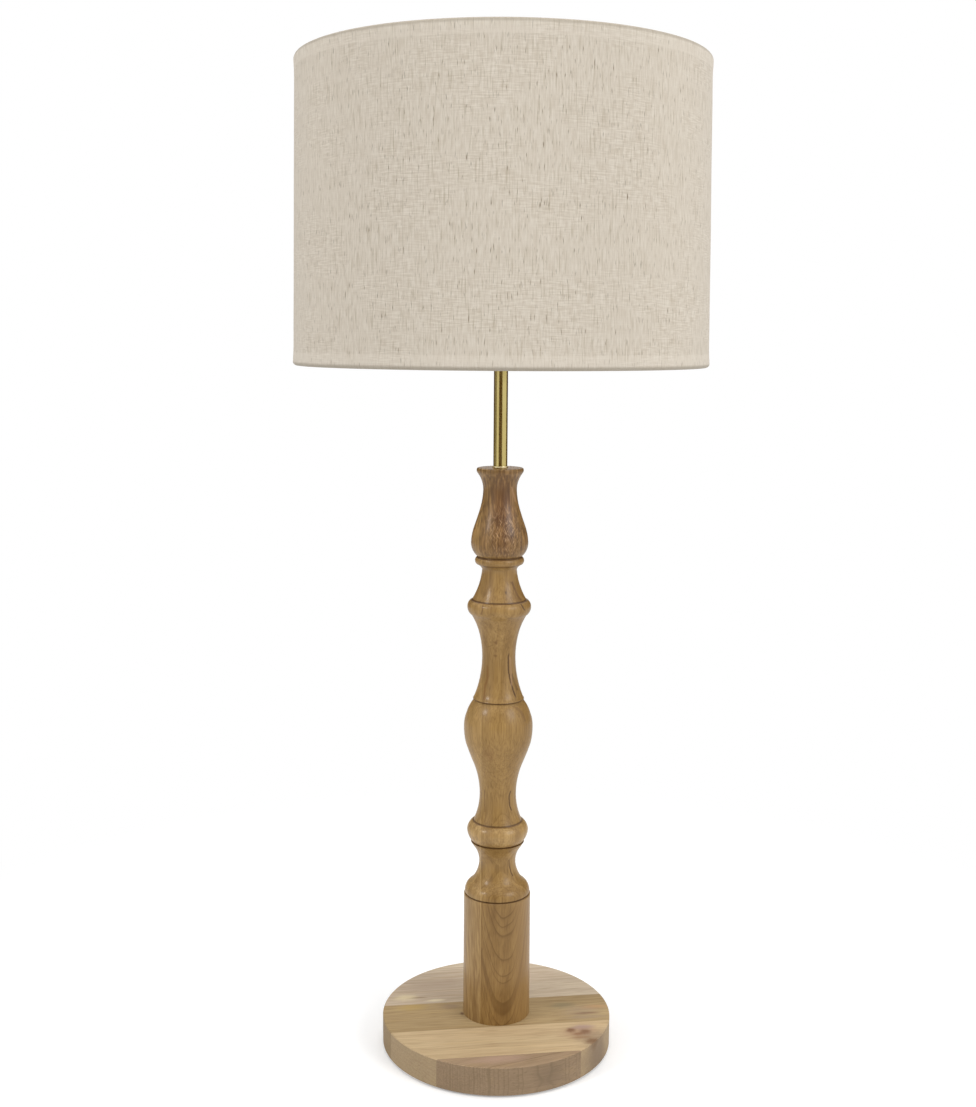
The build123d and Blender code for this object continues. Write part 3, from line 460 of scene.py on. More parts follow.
# %% Wood grain
def wood_grain(tree, place, turn, pith_mm, ring_mm, wander_mm):
    """Growth rings, fibres, pores, clouds and streaks, each 0 to 1, of a block cut near a pith."""
    # Sizes across the grain: drift 38 mm, clouds 26 mm, streaks 5 mm, fibres 1.2 mm, pores 0.7 mm.
    drift_scale, cloud_scale, streak_scale, fibre_scale, pore_scale = 26.0, 38.0, 190.0, 820.0, 1500.0
    # Along the grain, the drift and clouds are 6 times as long, the streaks 14 and the fibres 29.
    drift_stretch, streak_stretch, fibre_stretch = 0.16, 0.07, 0.035
    trunk = add_node(
        tree, "Mapping", {"Vector": place, "Rotation": turn, "Location": [-p * mm for p in pith_mm]})
    slow = add_node(tree, "Mapping", {"Vector": trunk, "Scale": (1.0, 1.0, drift_stretch)})
    drift = add_node(
        tree, "TexNoise", {"Vector": slow, "Scale": drift_scale, "Detail": 3.0, "Roughness": 0.55})
    centred = add_node(tree, "VectorMath SUBTRACT", {0: drift.outputs["Color"], 1: (0.5, 0.5, 0.5)})
    sway = add_node(tree, "VectorMath SCALE", {0: centred, "Scale": 2 * wander_mm * mm})
    bent = add_node(tree, "VectorMath ADD", {0: trunk, 1: sway})
    level = add_node(tree, "VectorMath MULTIPLY", {0: bent, 1: (1.0, 1.0, 0.0)})
    depth = add_node(tree, "VectorMath LENGTH", {0: level}).outputs["Value"]
    age = add_node(tree, "Math MULTIPLY", {0: depth, 1: 1 / (ring_mm * mm)})
    seasons = add_node(tree, "TexNoise", {"W": age, "Scale": 0.35, "Detail": 1.0}, noise_dimensions="1D")
    uneven = add_node(tree, "Math MULTIPLY_ADD", {0: seasons, 1: 3.0, 2: age})
    year = add_node(tree, "Math FRACT", {0: uneven})
    # Each ring starts as pale early wood and ends in a narrow dark line of late wood.
    ring = add_node(tree, "FloatCurve", {"Value": year})
    curve = ring.mapping.curves[0]
    curve.points[0].location, curve.points[1].location = (0.0, 0.12), (1.0, 0.12)
    for spot in ((0.55, 0.16), (0.76, 0.45), (0.87, 1.0), (0.94, 0.25)):
        curve.points.new(*spot)
    ring.mapping.update()
    lines = add_node(tree, "Mapping", {"Vector": trunk, "Scale": (1.0, 1.0, fibre_stretch)})
    bands = add_node(tree, "Mapping", {"Vector": bent, "Scale": (1.0, 1.0, streak_stretch)})
    fields = [ring]
    for stretched, scale, detail, rough in ((lines, fibre_scale, 2.0, 0.5), (lines, pore_scale, 0.0, 0.5),
                                            (slow, cloud_scale, 2.0, 0.5), (bands, streak_scale, 3.0, 0.6)):
        fields.append(add_node(
            tree, "TexNoise", {"Vector": stretched, "Scale": scale, "Detail": detail, "Roughness": rough}))
    return fields


# %% Wood colour
def wood_colour(tree, grain, pale, dark, cloudy, ring_share, fibre_share, pore_share, streak_share):
    """The pale wood, with its clouds, streaks, rings, fibres and pores laid over it in turn."""
    ring, fibre, pore, cloud, streak = grain
    patchy = add_node(
        tree, "MapRange", {"Value": cloud, "From Min": 0.35, "From Max": 0.62, "To Min": 0.45, "To Max": 1.0})
    colour = linear(pale)
    for layer in (
        (cloud, 0.32, 0.70, 1.0, cloudy),
        (streak, 0.52, 0.68, 1.0, dark, streak_share),
        (streak, 0.46, 0.32, 0.5, "DDB878", streak_share),
        (ring, 0.0, 1.0, ring_share, dark, patchy),
        (fibre, 0.38, 0.68, fibre_share, dark),
        (pore, 0.60, 0.72, pore_share, dark),
    ):
        colour = coat(tree, colour, *layer)
    return colour


# %% [markdown]
# ### Marks in the wood
# Knots, mineral stains and fine drying checks tell one board from the next. They could be painted
# on a picture, but a shape in space needs none and stays sharp at any size. A soft spot is a ragged
# ellipsoid, and a check is a thin line down the front of the column.


# %% Stains and knots
def soft_spot(tree, place, colour, centre_mm, size_mm, hex_code, share, turn=(0, 0, 0), rag=0.35):
    """A stain or knot: a ragged ellipsoid that fades from its core to its edge."""
    core, rag_scale = 0.15, 1.7
    local = add_node(tree, "Mapping",
                     {"Vector": place, "Location": [c * mm for c in centre_mm], "Rotation": turn,
                      "Scale": [s * mm for s in size_mm]}, vector_type="TEXTURE")
    noise = add_node(tree, "TexNoise", {"Vector": local, "Scale": rag_scale, "Detail": 3.0})
    radius = add_node(tree, "VectorMath LENGTH", {0: local}).outputs["Value"]
    ragged = add_node(tree, "Math MULTIPLY_ADD", {0: noise, 1: 2 * rag, 2: radius})
    return coat(tree, colour, ragged, 1.0 + rag, core + rag, share, hex_code,
                interpolation_type="SMOOTHSTEP")


# %% Drying checks
def check(tree, place, colour, path_mm, width_mm, hex_code, share):
    """A thin line down the front of the column through (x, z) points, from the lowest up."""
    shake_share, shake_scale, end_fade = 0.8, 260.0, 0.06
    axes = add_node(tree, "SeparateXYZ", {0: place})
    low, high = path_mm[0][1], path_mm[-1][1]
    left = min(p[0] for p in path_mm) - 1.0
    span = max(p[0] for p in path_mm) + 1.0 - left
    level = add_node(
        tree, "MapRange", {"Value": axes.outputs["Z"], "From Min": low * mm, "From Max": high * mm})
    bend = add_node(tree, "FloatCurve", {"Value": level})
    curve = bend.mapping.curves[0]
    spots = [((z - low) / (high - low), (x - left) / span) for x, z in path_mm]
    curve.points[0].location, curve.points[1].location = spots[0], spots[-1]
    for spot in spots[1:-1]:
        curve.points.new(*spot)
    bend.mapping.update()
    line = add_node(tree, "MapRange", {"Value": bend, "To Min": left * mm, "To Max": (left + span) * mm})
    # Bends about 4 mm long shake the line by up to a share of its width to each side.
    shake_m = shake_share * width_mm * mm
    noise = add_node(tree, "TexNoise", {"Vector": place, "Scale": shake_scale, "Detail": 2.0})
    shake = add_node(tree, "Math MULTIPLY_ADD", {0: noise, 1: 2 * shake_m, 2: line})
    away = add_node(tree, "Math SUBTRACT", {0: axes.outputs["X"], 1: shake})
    away = add_node(tree, "Math ADD", {0: away, 1: shake_m})
    off = add_node(tree, "Math ABSOLUTE", {0: away})
    # It thins out at both ends, and the column's back has none.
    ends = add_node(tree, "Math SUBTRACT", {0: 1.0, 1: level})
    ends = add_node(tree, "Math MULTIPLY", {0: ends, 1: level})
    fade = add_node(tree, "MapRange", {"Value": ends, "From Max": end_fade})
    front = add_node(tree, "Math LESS_THAN", {0: axes.outputs["Y"], 1: 0.0})
    area = add_node(tree, "Math MULTIPLY", {0: fade, 1: front})
    return coat(tree, colour, off, width_mm * mm, width_mm * mm * 0.3, share, hex_code, area)


# %% [markdown]
# ## The column
# The blank is glued up from two pieces of a honey-brown hardwood, turned on a lathe and finished in
# satin lacquer. Its pith leans back, so the rings run up the front as nested arches that open
# upwards. The glue line is near the left of the front, and the strip beyond it has straighter,
# more golden grain. The head is darker and burled, and a few drying checks run down the stems. One
# material could be made for each member, but one blank of wood has one grain, so a single material
# changes with the height instead.

# %% Column finish: the grain
# Satin lacquer gives the eye a soft wide gloss over the wood, and a faint clear one on top.
column_wood, tree, shader = start_material(
    "hardwood_turned_and_satin_lacquered",
    {"Roughness": 0.52, "Specular IOR Level": 0.30, "Coat Weight": 0.24, "Coat Roughness": 0.21})
glue_line_mm = -12.4
place = add_node(tree, "TexCoord").outputs["Object"]
axes = add_node(tree, "SeparateXYZ", {0: place})
strip = add_node(tree, "Math LESS_THAN", {0: axes.outputs["X"], 1: glue_line_mm * mm})
# Beyond the glue line, the grain is read from another place in the tree.
jump = add_node(tree, "VectorMath SCALE", {0: (0.031, 0.047, 0.190), "Scale": strip})
blank = add_node(tree, "VectorMath ADD", {0: place, 1: jump})
ring, fibre, pore, cloud, streak = wood_grain(
    tree, blank, (radians(6.4), radians(-0.8), 0.0), (-28.0, 106.0, 0.0), 1.25, 1.8)


def by_height(stops):
    """A number that follows the height on the column, given as (height in mm, value) stops."""
    low, high = stops[0][0], stops[-1][0]
    level = add_node(
        tree, "MapRange", {"Value": axes.outputs["Z"], "From Min": low * mm, "From Max": high * mm})
    ramp = add_node(tree, "ValToRGB", {0: level})
    spots = ramp.color_ramp.elements
    for stop, value in stops[1:-1]:
        spots.new((stop - low) / (high - low))
    for spot, (stop, value) in zip(spots, stops):
        spot.color = (value, value, value, 1.0)
    return ramp


ring_share = by_height(((23, 0.95), (112, 0.95), (130, 0.45), (180, 0.40), (205, 0.25), (262, 0.16),
                        (330, 0.22), (352, 0.45), (449, 0.45)))
streak_share = by_height(((23, 0.40), (118, 0.40), (130, 0.34), (180, 0.28), (205, 0.14), (262, 0.16),
                          (285, 0.30), (449, 0.42)))
ring = add_node(tree, "Math MULTIPLY", {0: ring, 1: ring_share})
grain = (ring, fibre, pore, cloud, streak)
colour = wood_colour(tree, grain, "B08C52", "664618", "96743E", 0.85, 0.34, 0.30, streak_share)
print("column grain", len(tree.nodes), "nodes")

# %% Column finish: the strip, painted sheen on the flanks, a painted highlight on the lower bead, and the tone of each member
# The strip beyond the glue line is golden wood. On the lower cylinder it is painted lighter still, as painted
# sheen on that edge, and the right flank gets a painted sheen too.
strip_and_painted_sheen = by_height(((23, 0.42), (120, 0.42), (124, 0.24), (180, 0.20), (200, 0.06), (380, 0.06),
                         (388, 0.20), (449, 0.20)))
flank_painted_sheen = by_height(((23, 0.35), (120, 0.35), (124, 0.0), (449, 0.0)))
dark_share = by_height(((23, 0.34), (118, 0.30), (124, 0.05), (240, 0.0), (345, 0.12), (352, 0.22),
                        (383, 0.30), (388, 0.72), (415, 0.68), (430, 0.60), (449, 0.62)))
# The lower bead is painted lighter, as a painted highlight.
bead_painted_highlight = by_height(((23, 0.0), (163, 0.0), (165, 0.26), (177, 0.26), (179, 0.0), (449, 0.0)))
strip_and_painted_sheen = add_node(tree, "Math MULTIPLY", {0: strip, 1: strip_and_painted_sheen})
# The golden strip and the lower bead under its painted highlight show their fibres more strongly.
lively = add_node(tree, "Math ADD", {0: strip_and_painted_sheen, 1: bead_painted_highlight})
for layer in (
    (strip_and_painted_sheen, 0.0, 1.0, 1.0, "CEAB76"),
    (axes.outputs["X"], 10 * mm, 16 * mm, 1.0, "BE9860", flank_painted_sheen),
    (dark_share, 0.0, 1.0, 1.0, "6E4E28"),
    (bead_painted_highlight, 0.0, 1.0, 1.0, "D2AD76"),
    (streak, 0.50, 0.63, 0.62, "6A4A22", lively),
    (streak, 0.48, 0.36, 0.50, "D9B97C", lively),
    (fibre, 0.50, 0.64, 0.62, "6A4A22", lively),
    (fibre, 0.46, 0.34, 0.45, "D9B97C", lively),
):
    colour = coat(tree, colour, *layer)
print("with the tones", len(tree.nodes), "nodes")

# %% Column finish: the head, with upright streaks, and fibres that cross each other in its burl
colour = soft_spot(tree, place, colour, (2.5, -14, 416), (13, 26, 46), "66402A", 0.62, rag=0.3)
colour = soft_spot(tree, place, colour, (-17, -10, 402), (5.5, 14, 26), "A8854C", 0.55, rag=0.25)
burl = add_node(tree, "Mapping",
                {"Vector": place, "Location": (0.004, -0.018, 0.403), "Scale": (0.020, 0.026, 0.026)},
                vector_type="TEXTURE")
burl_reach = add_node(tree, "VectorMath LENGTH", {0: burl}).outputs["Value"]
in_burl = add_node(tree, "MapRange", {"Value": burl_reach, "From Min": 1.0, "From Max": 0.2},
                   interpolation_type="SMOOTHSTEP")
in_head = by_height(((23, 0.0), (381, 0.0), (386, 1.0), (449, 1.0)))
crossing = []
for lean, width_mm, length_mm in ((0.0, 1.5, 26.0), (26.0, 0.8, 7.0), (-24.0, 0.8, 7.0)):
    leaning = add_node(tree, "Mapping", {"Vector": place, "Rotation": (0.0, radians(lean), 0.0)})
    per_m = [1 / (size_mm * mm) for size_mm in (width_mm, 2 * width_mm, length_mm)]
    drawn_out = add_node(tree, "Mapping", {"Vector": leaning, "Scale": per_m})
    crossing.append(add_node(
        tree, "TexNoise", {"Vector": drawn_out, "Scale": 1.0, "Detail": 2.0, "Distortion": 0.3}))
upright, right_way, left_way = crossing
for layer in (
    (upright, 0.50, 0.66, 0.55, "4A2E18", in_head), (upright, 0.47, 0.32, 0.42, "B58C58", in_head),
    (right_way, 0.54, 0.66, 0.55, "452A16", in_burl), (left_way, 0.54, 0.66, 0.55, "452A16", in_burl),
    (right_way, 0.44, 0.34, 0.60, "B8946C", in_burl), (left_way, 0.44, 0.34, 0.60, "B8946C", in_burl),
):
    colour = coat(tree, colour, *layer)
print("with the head", len(tree.nodes), "nodes")

# %% Column finish: checks, knots, and stain with painted shade in the cut lines
checks = (  # (x, z) points in mm, half width in mm, colour, share
    (((13.3, 277.2), (10.4, 285.1), (8.0, 293.6), (7.0, 305.4), (7.4, 311.9)), 0.72, "4A2D0C", 0.92),
    (((14.2, 282.0), (12.8, 285.8), (10.8, 291.2), (10.2, 296.0)), 1.1, "5E4220", 0.60),
    (((11.0, 189.2), (8.6, 198.1), (10.1, 205.6)), 0.60, "44270B", 0.9),
    (((12.2, 137.0), (9.6, 144.0), (9.0, 151.6)), 0.55, "4C2C0C", 0.8),
    (((-10.7, 275.8), (-9.9, 286.4), (-8.3, 293.4), (-8.9, 302.6)), 1.0, "7E5424", 0.65),
    (((9.6, 286.0), (9.2, 296.0), (8.4, 309.0)), 0.9, "B48E6C", 0.40),
    (((19.9, 260.2), (16.1, 268.5), (9.5, 273.0)), 1.5, "6A4824", 0.40),
    (((-8.5, 315.7), (-3.8, 318.4)), 0.9, "6E4C24", 0.45),
    (((-9.6, 188.0), (-9.9, 206.0)), 0.5, "62401A", 0.65),
    (((-12.4, 24.0), (-12.4, 120.0), (-13.0, 172.0)), 0.30, "C9A66C", 0.6),
    (((16.5, 351.0), (12.3, 358.0), (8.8, 366.0)), 1.2, "57361A", 0.6),
    (((19.2, 344.5), (15.8, 349.8)), 0.6, "402610", 0.85),
    (((-13.0, 342.0), (-12.0, 349.5)), 0.8, "6A4822", 0.6),
    (((11.5, 424.0), (8.2, 436.0)), 0.9, "B48A66", 0.45),
    (((-11.0, 390.0), (-11.6, 402.0)), 0.7, "5E3E1E", 0.5),
)
for mark in checks:
    colour = check(tree, place, colour, *mark)
spots = (  # centre and half sizes in mm, colour, share
    ((4.9, -15.7, 358.0), (0.7, 1.5, 2.0), "45290F", 0.95),
    ((-2.3, -13.3, 319.9), (2.3, 3.0, 2.4), "6E4A22", 0.75),
    ((-2.6, -12.2, 309.8), (2.2, 2.6, 1.5), "6E4A22", 0.70),
    ((-2.4, -12.4, 314.0), (1.5, 2.4, 3.0), "76522A", 0.45),
    ((-6.0, -20.0, 238.0), (5.5, 8.0, 10.0), "7C5426", 0.45),
)
for mark in spots:
    colour = soft_spot(tree, place, colour, *mark)
# The cut lines and the undersides of the beads are painted dark: partly stain in the wood, partly painted
# shade in the grooves.
cut_line_stain_and_shade = (  # height and half width in mm, share
    (121.5, 0.85, 0.85), (163.0, 0.85, 0.85), (179.2, 0.75, 0.75), (274.5, 0.75, 0.75),
    (350.5, 0.80, 0.85), (376.9, 0.8, 0.45), (382.8, 1.1, 0.80),
)
for centre, width, share in cut_line_stain_and_shade:
    away = add_node(tree, "Math SUBTRACT", {0: axes.outputs["Z"], 1: centre * mm})
    off = add_node(tree, "Math ABSOLUTE", {0: away})
    colour = coat(tree, colour, off, width * mm, 0.3 * width * mm, share, "47290C")
finish(tree, shader, colour, fibre, strength=0.15, depth_mm=0.2)
print("column finish", len(tree.nodes), "nodes,", len(checks), "checks,", len(spots), "spots")

column = turned("column_turned", column_outline, column_wood, segments=192)
put_in_place(column, "column", "root")

# %% [markdown]
# ## The base boards
# Four boards of a pale hardwood are glued edge to edge, cut round and finished with a thin matt oil.
# They run a little off the front, and each came from another part of the tree. One material for all
# would carry the grain across the glue lines, so each board gets its own pith, colour and marks. The
# front board was cut across its rings, which is why its rim shows upright lines, while the others
# were cut along them.

# %% The four boards and their marks
# Pale, dark and cloudy colours; pith, ring and wander in mm; ring share; skew in degrees; marks, each
# with its centre and half sizes in mm, colour and share.
boards = {
    "base_board_back": ("D8C8AE", "957A5F", "C4B29C", (-14.0, 60.0, 0.0), 2.4, 2.4, 0.30, 0, (
        ((-72, 19, 23.5), (14, 8, 8), "DCCBA4", 0.7),
        ((-48, 15, 23.5), (11, 3, 6), "E4D6B4", 0.8),
        ((-62, 19, 23.5), (11, 1.2, 4), "8E7656", 0.8),
        ((-52, 40, 23.5), (26, 12, 8), "B6A18C", 0.45),
    )),
    "base_board_centre": ("BBA278", "7C6038", "A68E68", (-40.0, -10.0, 0.0), 2.6, 2.4, 0.28, 0, (
        ((77, 7, 23.5), (17, 5, 6), "B58E64", 0.7),
        ((70, -3.5, 23.5), (16, 2.6, 6), "7A5638", 0.75),
        ((52, 9, 23.5), (15, 7, 6), "8C8062", 0.6),
        ((70, -10, 23.5), (26, 4, 6), "A08A70", 0.6),
        ((66, 0, 23.5), (24, 14, 6), "988676", 0.35),
        ((-26.4, -6.6, 23.5), (2.6, 3.4, 3), "6A4E36", 0.8),
        ((-36, 5, 23.5), (13, 6, 6), "9A826A", 0.65),
        ((-66, 3, 23.5), (18, 8, 8), "B59858", 0.55),
    )),
    "base_board_middle": ("CCB28B", "9A7C58", "C8B08A", (-60.0, -40.0, 0.0), 2.8, 2.4, 0.26, 0, (
        ((64, -34, 23.5), (22, 13, 9), "A8866A", 0.70),
        ((66, -26, 23.5), (14, 6, 6), "9C8080", 0.55),
        ((78, -44, 8.0), (26, 26, 34), "7E6A5A", 0.75),
        ((56.8, -31.4, 23.5), (5.6, 5.4, 4), "7A543A", 0.85),
        ((67.5, -33.3, 23.5), (6.6, 5.8, 4), "7E5A40", 0.80),
        ((72.6, -47.5, 23.5), (9.5, 7.0, 9), "7A5A3E", 0.85),
        ((62, -37, 23.5), (7, 3.6, 4), "8A6244", 0.70),
        ((64, -42, 23.5), (13, 3, 5), "93704E", 0.60),
    )),
    "base_board_front": ("B59A7C", "7A6549", "A68B6E", (10.0, 420.0, 0.0), 1.25, 1.6, 0.60, -16, (
        ((2, -76, 23.5), (34, 8, 5), "B59684", 0.55),
        ((40, -78, 12), (18, 12, 14), "7E6A56", 0.45),
    )),
}
print("marks", {name: len(board[-1]) for name, board in boards.items()})

# %% Board finishes
board_run = radians(8.1)
for name, (pale, dark, cloudy, pith, ring_mm, wander, ring_share, skew, marks) in boards.items():
    # Planing leaves the fibres open, and a thin oil hardly shines: the eye gets a dry matt surface.
    wood, tree, shader = start_material(
        "hardwood_planed_and_oiled_" + name.removeprefix("base_board_"),
        {"Roughness": 0.68, "Specular IOR Level": 0.25})
    place = add_node(tree, "TexCoord").outputs["Object"]
    board_turn = Matrix.Rotation(radians(90), 3, "Y") @ Matrix.Rotation(radians(skew) - board_run, 3, "Z")
    grain = wood_grain(tree, place, board_turn.to_euler("XYZ"), pith, ring_mm, wander)
    colour = wood_colour(tree, grain, pale, dark, cloudy, ring_share, 0.30, 0.40, 0.20)
    for mark in marks:
        colour = soft_spot(tree, place, colour, *mark, turn=(0, 0, board_run))
    # The rim is painted darker where the surface turns from the top: partly because its cut fibres drink more
    # oil, partly as painted shade on the sides, which get less of the light from above.
    normal = add_node(tree, "NewGeometry").outputs["Normal"]
    facing_up = add_node(tree, "SeparateXYZ", {0: normal}).outputs["Z"]
    colour = coat(tree, colour, facing_up, 0.8, 0.3, 0.45, "7E6C56")
    finish(tree, shader, colour, grain[1], strength=0.35, depth_mm=0.3)
    nodes[name].data.materials.clear()
    nodes[name].data.materials.append(wood)
print("boards", list(boards))

# %% [markdown]
# ## Metals and plastics
# Most pieces inside the lamp are brass, plated steel or moulded plastic, in one even colour. A plain
# shader would do, but it looks like a computer's, because real gloss is never quite even. So one
# function makes them all, with a noise of a real size in the roughness: polishing marks, plating
# grain or moulding texture.


# %% A plain finish with uneven gloss
def plain_finish(name, hex_code, worn_hex, constants, grain_mm, rough_low, rough_high,
                 relief_mm=0.0, upright_scale=1.0):
    """A finish whose colour and roughness vary a little in a noise of a real size."""
    material, tree, shader = start_material(name, constants)
    place = add_node(tree, "TexCoord").outputs["Object"]
    drawn_out = add_node(tree, "Mapping", {"Vector": place, "Scale": (1.0, 1.0, upright_scale)})
    noise = add_node(tree, "TexNoise", {"Vector": drawn_out, "Scale": 1 / (grain_mm * mm), "Detail": 3.0})
    rough = add_node(tree, "MapRange", {"Value": noise, "From Min": 0.3, "From Max": 0.7,
                                        "To Min": rough_low, "To Max": rough_high})
    tree.links.new(rough.outputs[0], shader.inputs["Roughness"])
    colour = coat(tree, linear(hex_code), noise, 0.3, 0.7, 1.0, worn_hex)
    finish(tree, shader, colour, noise, strength=0.3, depth_mm=relief_mm)
    return material


# %% The metals, the plastics and the glass
metal = {"Metallic": 1.0}
# Each slot has its recipe (name, colour, worn colour, constants, grain in mm, lowest and highest
# roughness, relief in mm, upright scale) and its nodes.
finishes = {
    # Brass, polished and lacquered: clear reflections, slightly drawn out along the pipe.
    "brass": (("brass_polished_and_lacquered", "CBBA7C", "BBA765", metal, 9.0, 0.16, 0.22, 0.0, 0.2),
              ("pipe_collar", "saddle_nut", "harp_saddle", "socket_cap", "socket_shell",
               "terminal_screws", "screw_shell", "centre_contact", "harp_wire", "harp_sleeve_left",
               "harp_sleeve_right", "finial_ferrule", "stand_pipe", "harp_stud", "finial_ball")),
    # Steel, zinc plated: a greyer metal with a cloudy grain that blurs what it reflects.
    "zinc": (("steel_zinc_plated", "AEB0B2", "97999C", metal, 2.5, 0.32, 0.45, 0.02),
             ("base_washer", "base_lock_washer", "base_nut", "cap_set_screw", "switch_shaft")),
    # Thin sheet, nickel plated after rolling: pale and fairly bright, with a faint orange peel.
    "nickel": (("sheet_metal_nickel_plated", "C6C5C2", "B4B3AF", metal, 3.0, 0.22, 0.32, 0.01),
               ("bulb_tip", "bulb_cap")),
    # Phenolic, moulded: black with a satin skin, as the polished mould left it.
    "phenolic": (("phenolic_moulded_black", "1C1A18", "26231F", {}, 0.8, 0.32, 0.42, 0.02),
                 ("socket_core", "switch_key", "bulb_insulator")),
    # Vulcanised fibre, rolled: a dull dark card.
    "fibre": (("vulcanised_fibre_rolled", "3A3029", "4A3D32", {}, 0.6, 0.75, 0.9, 0.04),
              ("socket_sleeve",)),
    # Polypropylene, moulded: dark brown and a little waxy.
    "bush": (("polypropylene_moulded_brown", "2E2420", "3A2E28", {}, 0.8, 0.4, 0.5, 0.02),
             ("cord_bush",)),
    # Steel wire, powder coated: white, with the soft gloss of a baked coat.
    "white_enamel": (("steel_wire_powder_coated_white", "E2DFD8", "DDD9D1", {}, 1.6, 0.34, 0.44, 0.01),
                     ("spider_hub", "spider_arms", "shade_top_ring", "shade_bottom_ring")),
    # Styrene sheet, extruded: white and satin, so the shade's inside glows evenly.
    "liner": (("styrene_sheet_extruded_white", "EEECE6", "E8E5DD", {}, 3.0, 0.42, 0.55, 0.01),
              ("shade_liner",)),
    # Opal glass, blown: milky white under a thin clear shine.
    "opal_glass": (("opal_glass_blown", "E6E4DE", "E1DED7", {"Coat Weight": 0.3, "Coat Roughness": 0.1},
                    14.0, 0.28, 0.36), ("bulb_glass",)),
}
made = {}
for slot, (recipe, names) in finishes.items():
    made[slot] = plain_finish(*recipe)
    for name in names:
        nodes[name].data.materials.clear()
        nodes[name].data.materials.append(made[slot])
brass, nickel = made["brass"], made["nickel"]
print("finishes", {slot: len(names) for slot, (recipe, names) in finishes.items()})

# %% [markdown]
# ## The shade's cloth
# The shade is a slubbed linen-look cloth on a stiff lining, rolled over a wire ring at each edge and
# glued down inside. Only the outside and the two hems show. Woven threads as geometry would take
# millions of faces, so the cloth is one sheet from hem to hem, and its pattern follows its own map,
# where a unit is a metre: fine threads both ways, thick slubs along the upright yarns, and dark
# flecks of plant fibre in them.

# %% Linen
# A plain weave scatters light in every direction, with a faint sheen from its loose fibres.
linen, tree, shader = start_material(
    "linen_slubbed_plain_weave",
    {"Roughness": 0.9, "Specular IOR Level": 0.2, "Sheen Weight": 0.10, "Sheen Roughness": 0.5})
cloth = add_node(tree, "UVMap", uv_map="UVMap")
# Width round the shade and height in mm, and detail. The real threads are about 0.45 mm apart; they
# are drawn twice as coarse, as the picture shows them.
fields = []
for around_mm, upright_mm, detail in (
    (0.95, 9.0, 3.0), (9.0, 0.85, 3.0), (48.0, 36.0, 1.0), (1.0, 18.0, 1.0), (0.9, 7.0, 1.0),
):
    thread_map = add_node(
        tree, "Mapping", {"Vector": cloth, "Scale": (1 / (around_mm * mm), 1 / (upright_mm * mm), 1.0)})
    fields.append(add_node(tree, "TexNoise", {"Vector": thread_map, "Scale": 1.0, "Detail": detail}))
upright, level, patch, slub, fleck = fields
patchy = add_node(
    tree, "MapRange", {"Value": patch, "From Min": 0.42, "From Max": 0.58, "To Min": 0.15, "To Max": 1.0})
colour = linear("D4CBBD")
for layer in (
    (upright, 0.35, 0.65, 1.0, "C7BCAC"),
    (level, 0.50, 0.64, 0.32, "B5A793", patchy),
    (level, 0.48, 0.36, 0.34, "E2DACD", patchy),
    (slub, 0.585, 0.73, 0.50, "A3967F"),
    (fleck, 0.64, 0.80, 0.9, "6E5F49"),
):
    colour = coat(tree, colour, *layer)

# The hems are double, so a little paler, and the cloth is darker where it folds over the rings.
place = add_node(tree, "TexCoord").outputs["Object"]
axes = add_node(tree, "SeparateXYZ", {0: place})
for ring, inward in (("shade_bottom_ring", 1.0), ("shade_top_ring", -1.0)):
    edge = (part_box(ring)[0].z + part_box(ring)[1].z) / 2
    off = add_node(tree, "Math SUBTRACT", {0: axes.outputs["Z"], 1: edge})
    off = add_node(tree, "Math MULTIPLY", {0: off, 1: inward})
    colour = coat(tree, colour, off, 7.5 * mm, 6.5 * mm, 0.22, "E2D9CB")
    colour = coat(tree, colour, off, 0.6 * mm, -1.0 * mm, 0.6, "8F8575")
weave = add_node(tree, "Math ADD", {0: upright, 1: level})
weave = add_node(tree, "Math ADD", {0: weave, 1: slub})
finish(tree, shader, colour, weave, strength=0.35, depth_mm=0.3)
print("linen", len(tree.nodes), "nodes")

# %% Cut and roll the cloth
cloth_mm, wrap_mm, outer_mm, hem_mm = 0.7, 2.25, 2.75, 8.0
swell_mm, swell_run_mm, side_mm = 0.5, 9.0, 212.0


def roll(name, side, steps=12):
    """The cloth over one ring, from the side of the shade round to the end of the hem."""
    low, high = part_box(name)
    radius, height = high.x - (high.z - low.z) / 2, (high.z + low.z) / 2
    inner, outer = wrap_mm * mm, outer_mm * mm
    middle = radius + (outer - inner) / 2
    half = (outer + inner) / 2
    arc = [(middle + half * cos(a), height + side * inner * sin(a)) for a in np.linspace(0, pi, steps + 1)]
    return arc + [(radius - inner, height - side * hem_mm * mm * t) for t in (0.25, 0.5, 0.75, 1.0)]


top = roll("shade_top_ring", 1)
bottom = roll("shade_bottom_ring", -1)
low, high = bottom[0], top[0]
side = []
for share in np.linspace(0, 1, 61)[1:-1]:
    radius = low[0] + (high[0] - low[0]) * share
    edge_mm = min(share, 1 - share) * side_mm
    drawn_in = swell_mm * mm * min(1.0, edge_mm / swell_run_mm)
    side.append((radius - drawn_in, low[1] + (high[1] - low[1]) * share))
path = bottom[::-1] + side + top
shade = turned("shade_linen", path, linen, closed=False, segments=360, ripple=0.4 * mm,
               ripple_size=45 * mm, sharp_angle=pi, lap=0.35 * mm, lap_width=9.0 * mm)
solid = shade.modifiers.new("cloth thickness", "SOLIDIFY")
solid.thickness = cloth_mm * mm
solid.offset = 0.0
put_in_place(shade, "shade_cloth", "shade")

# %% [markdown]
# ## The felt
# A disc of pressed felt is glued under the base, so that the lamp doesn't scratch what it stands on.
# A cylinder would have a knife edge, so its outline is turned, with a small rounded one.

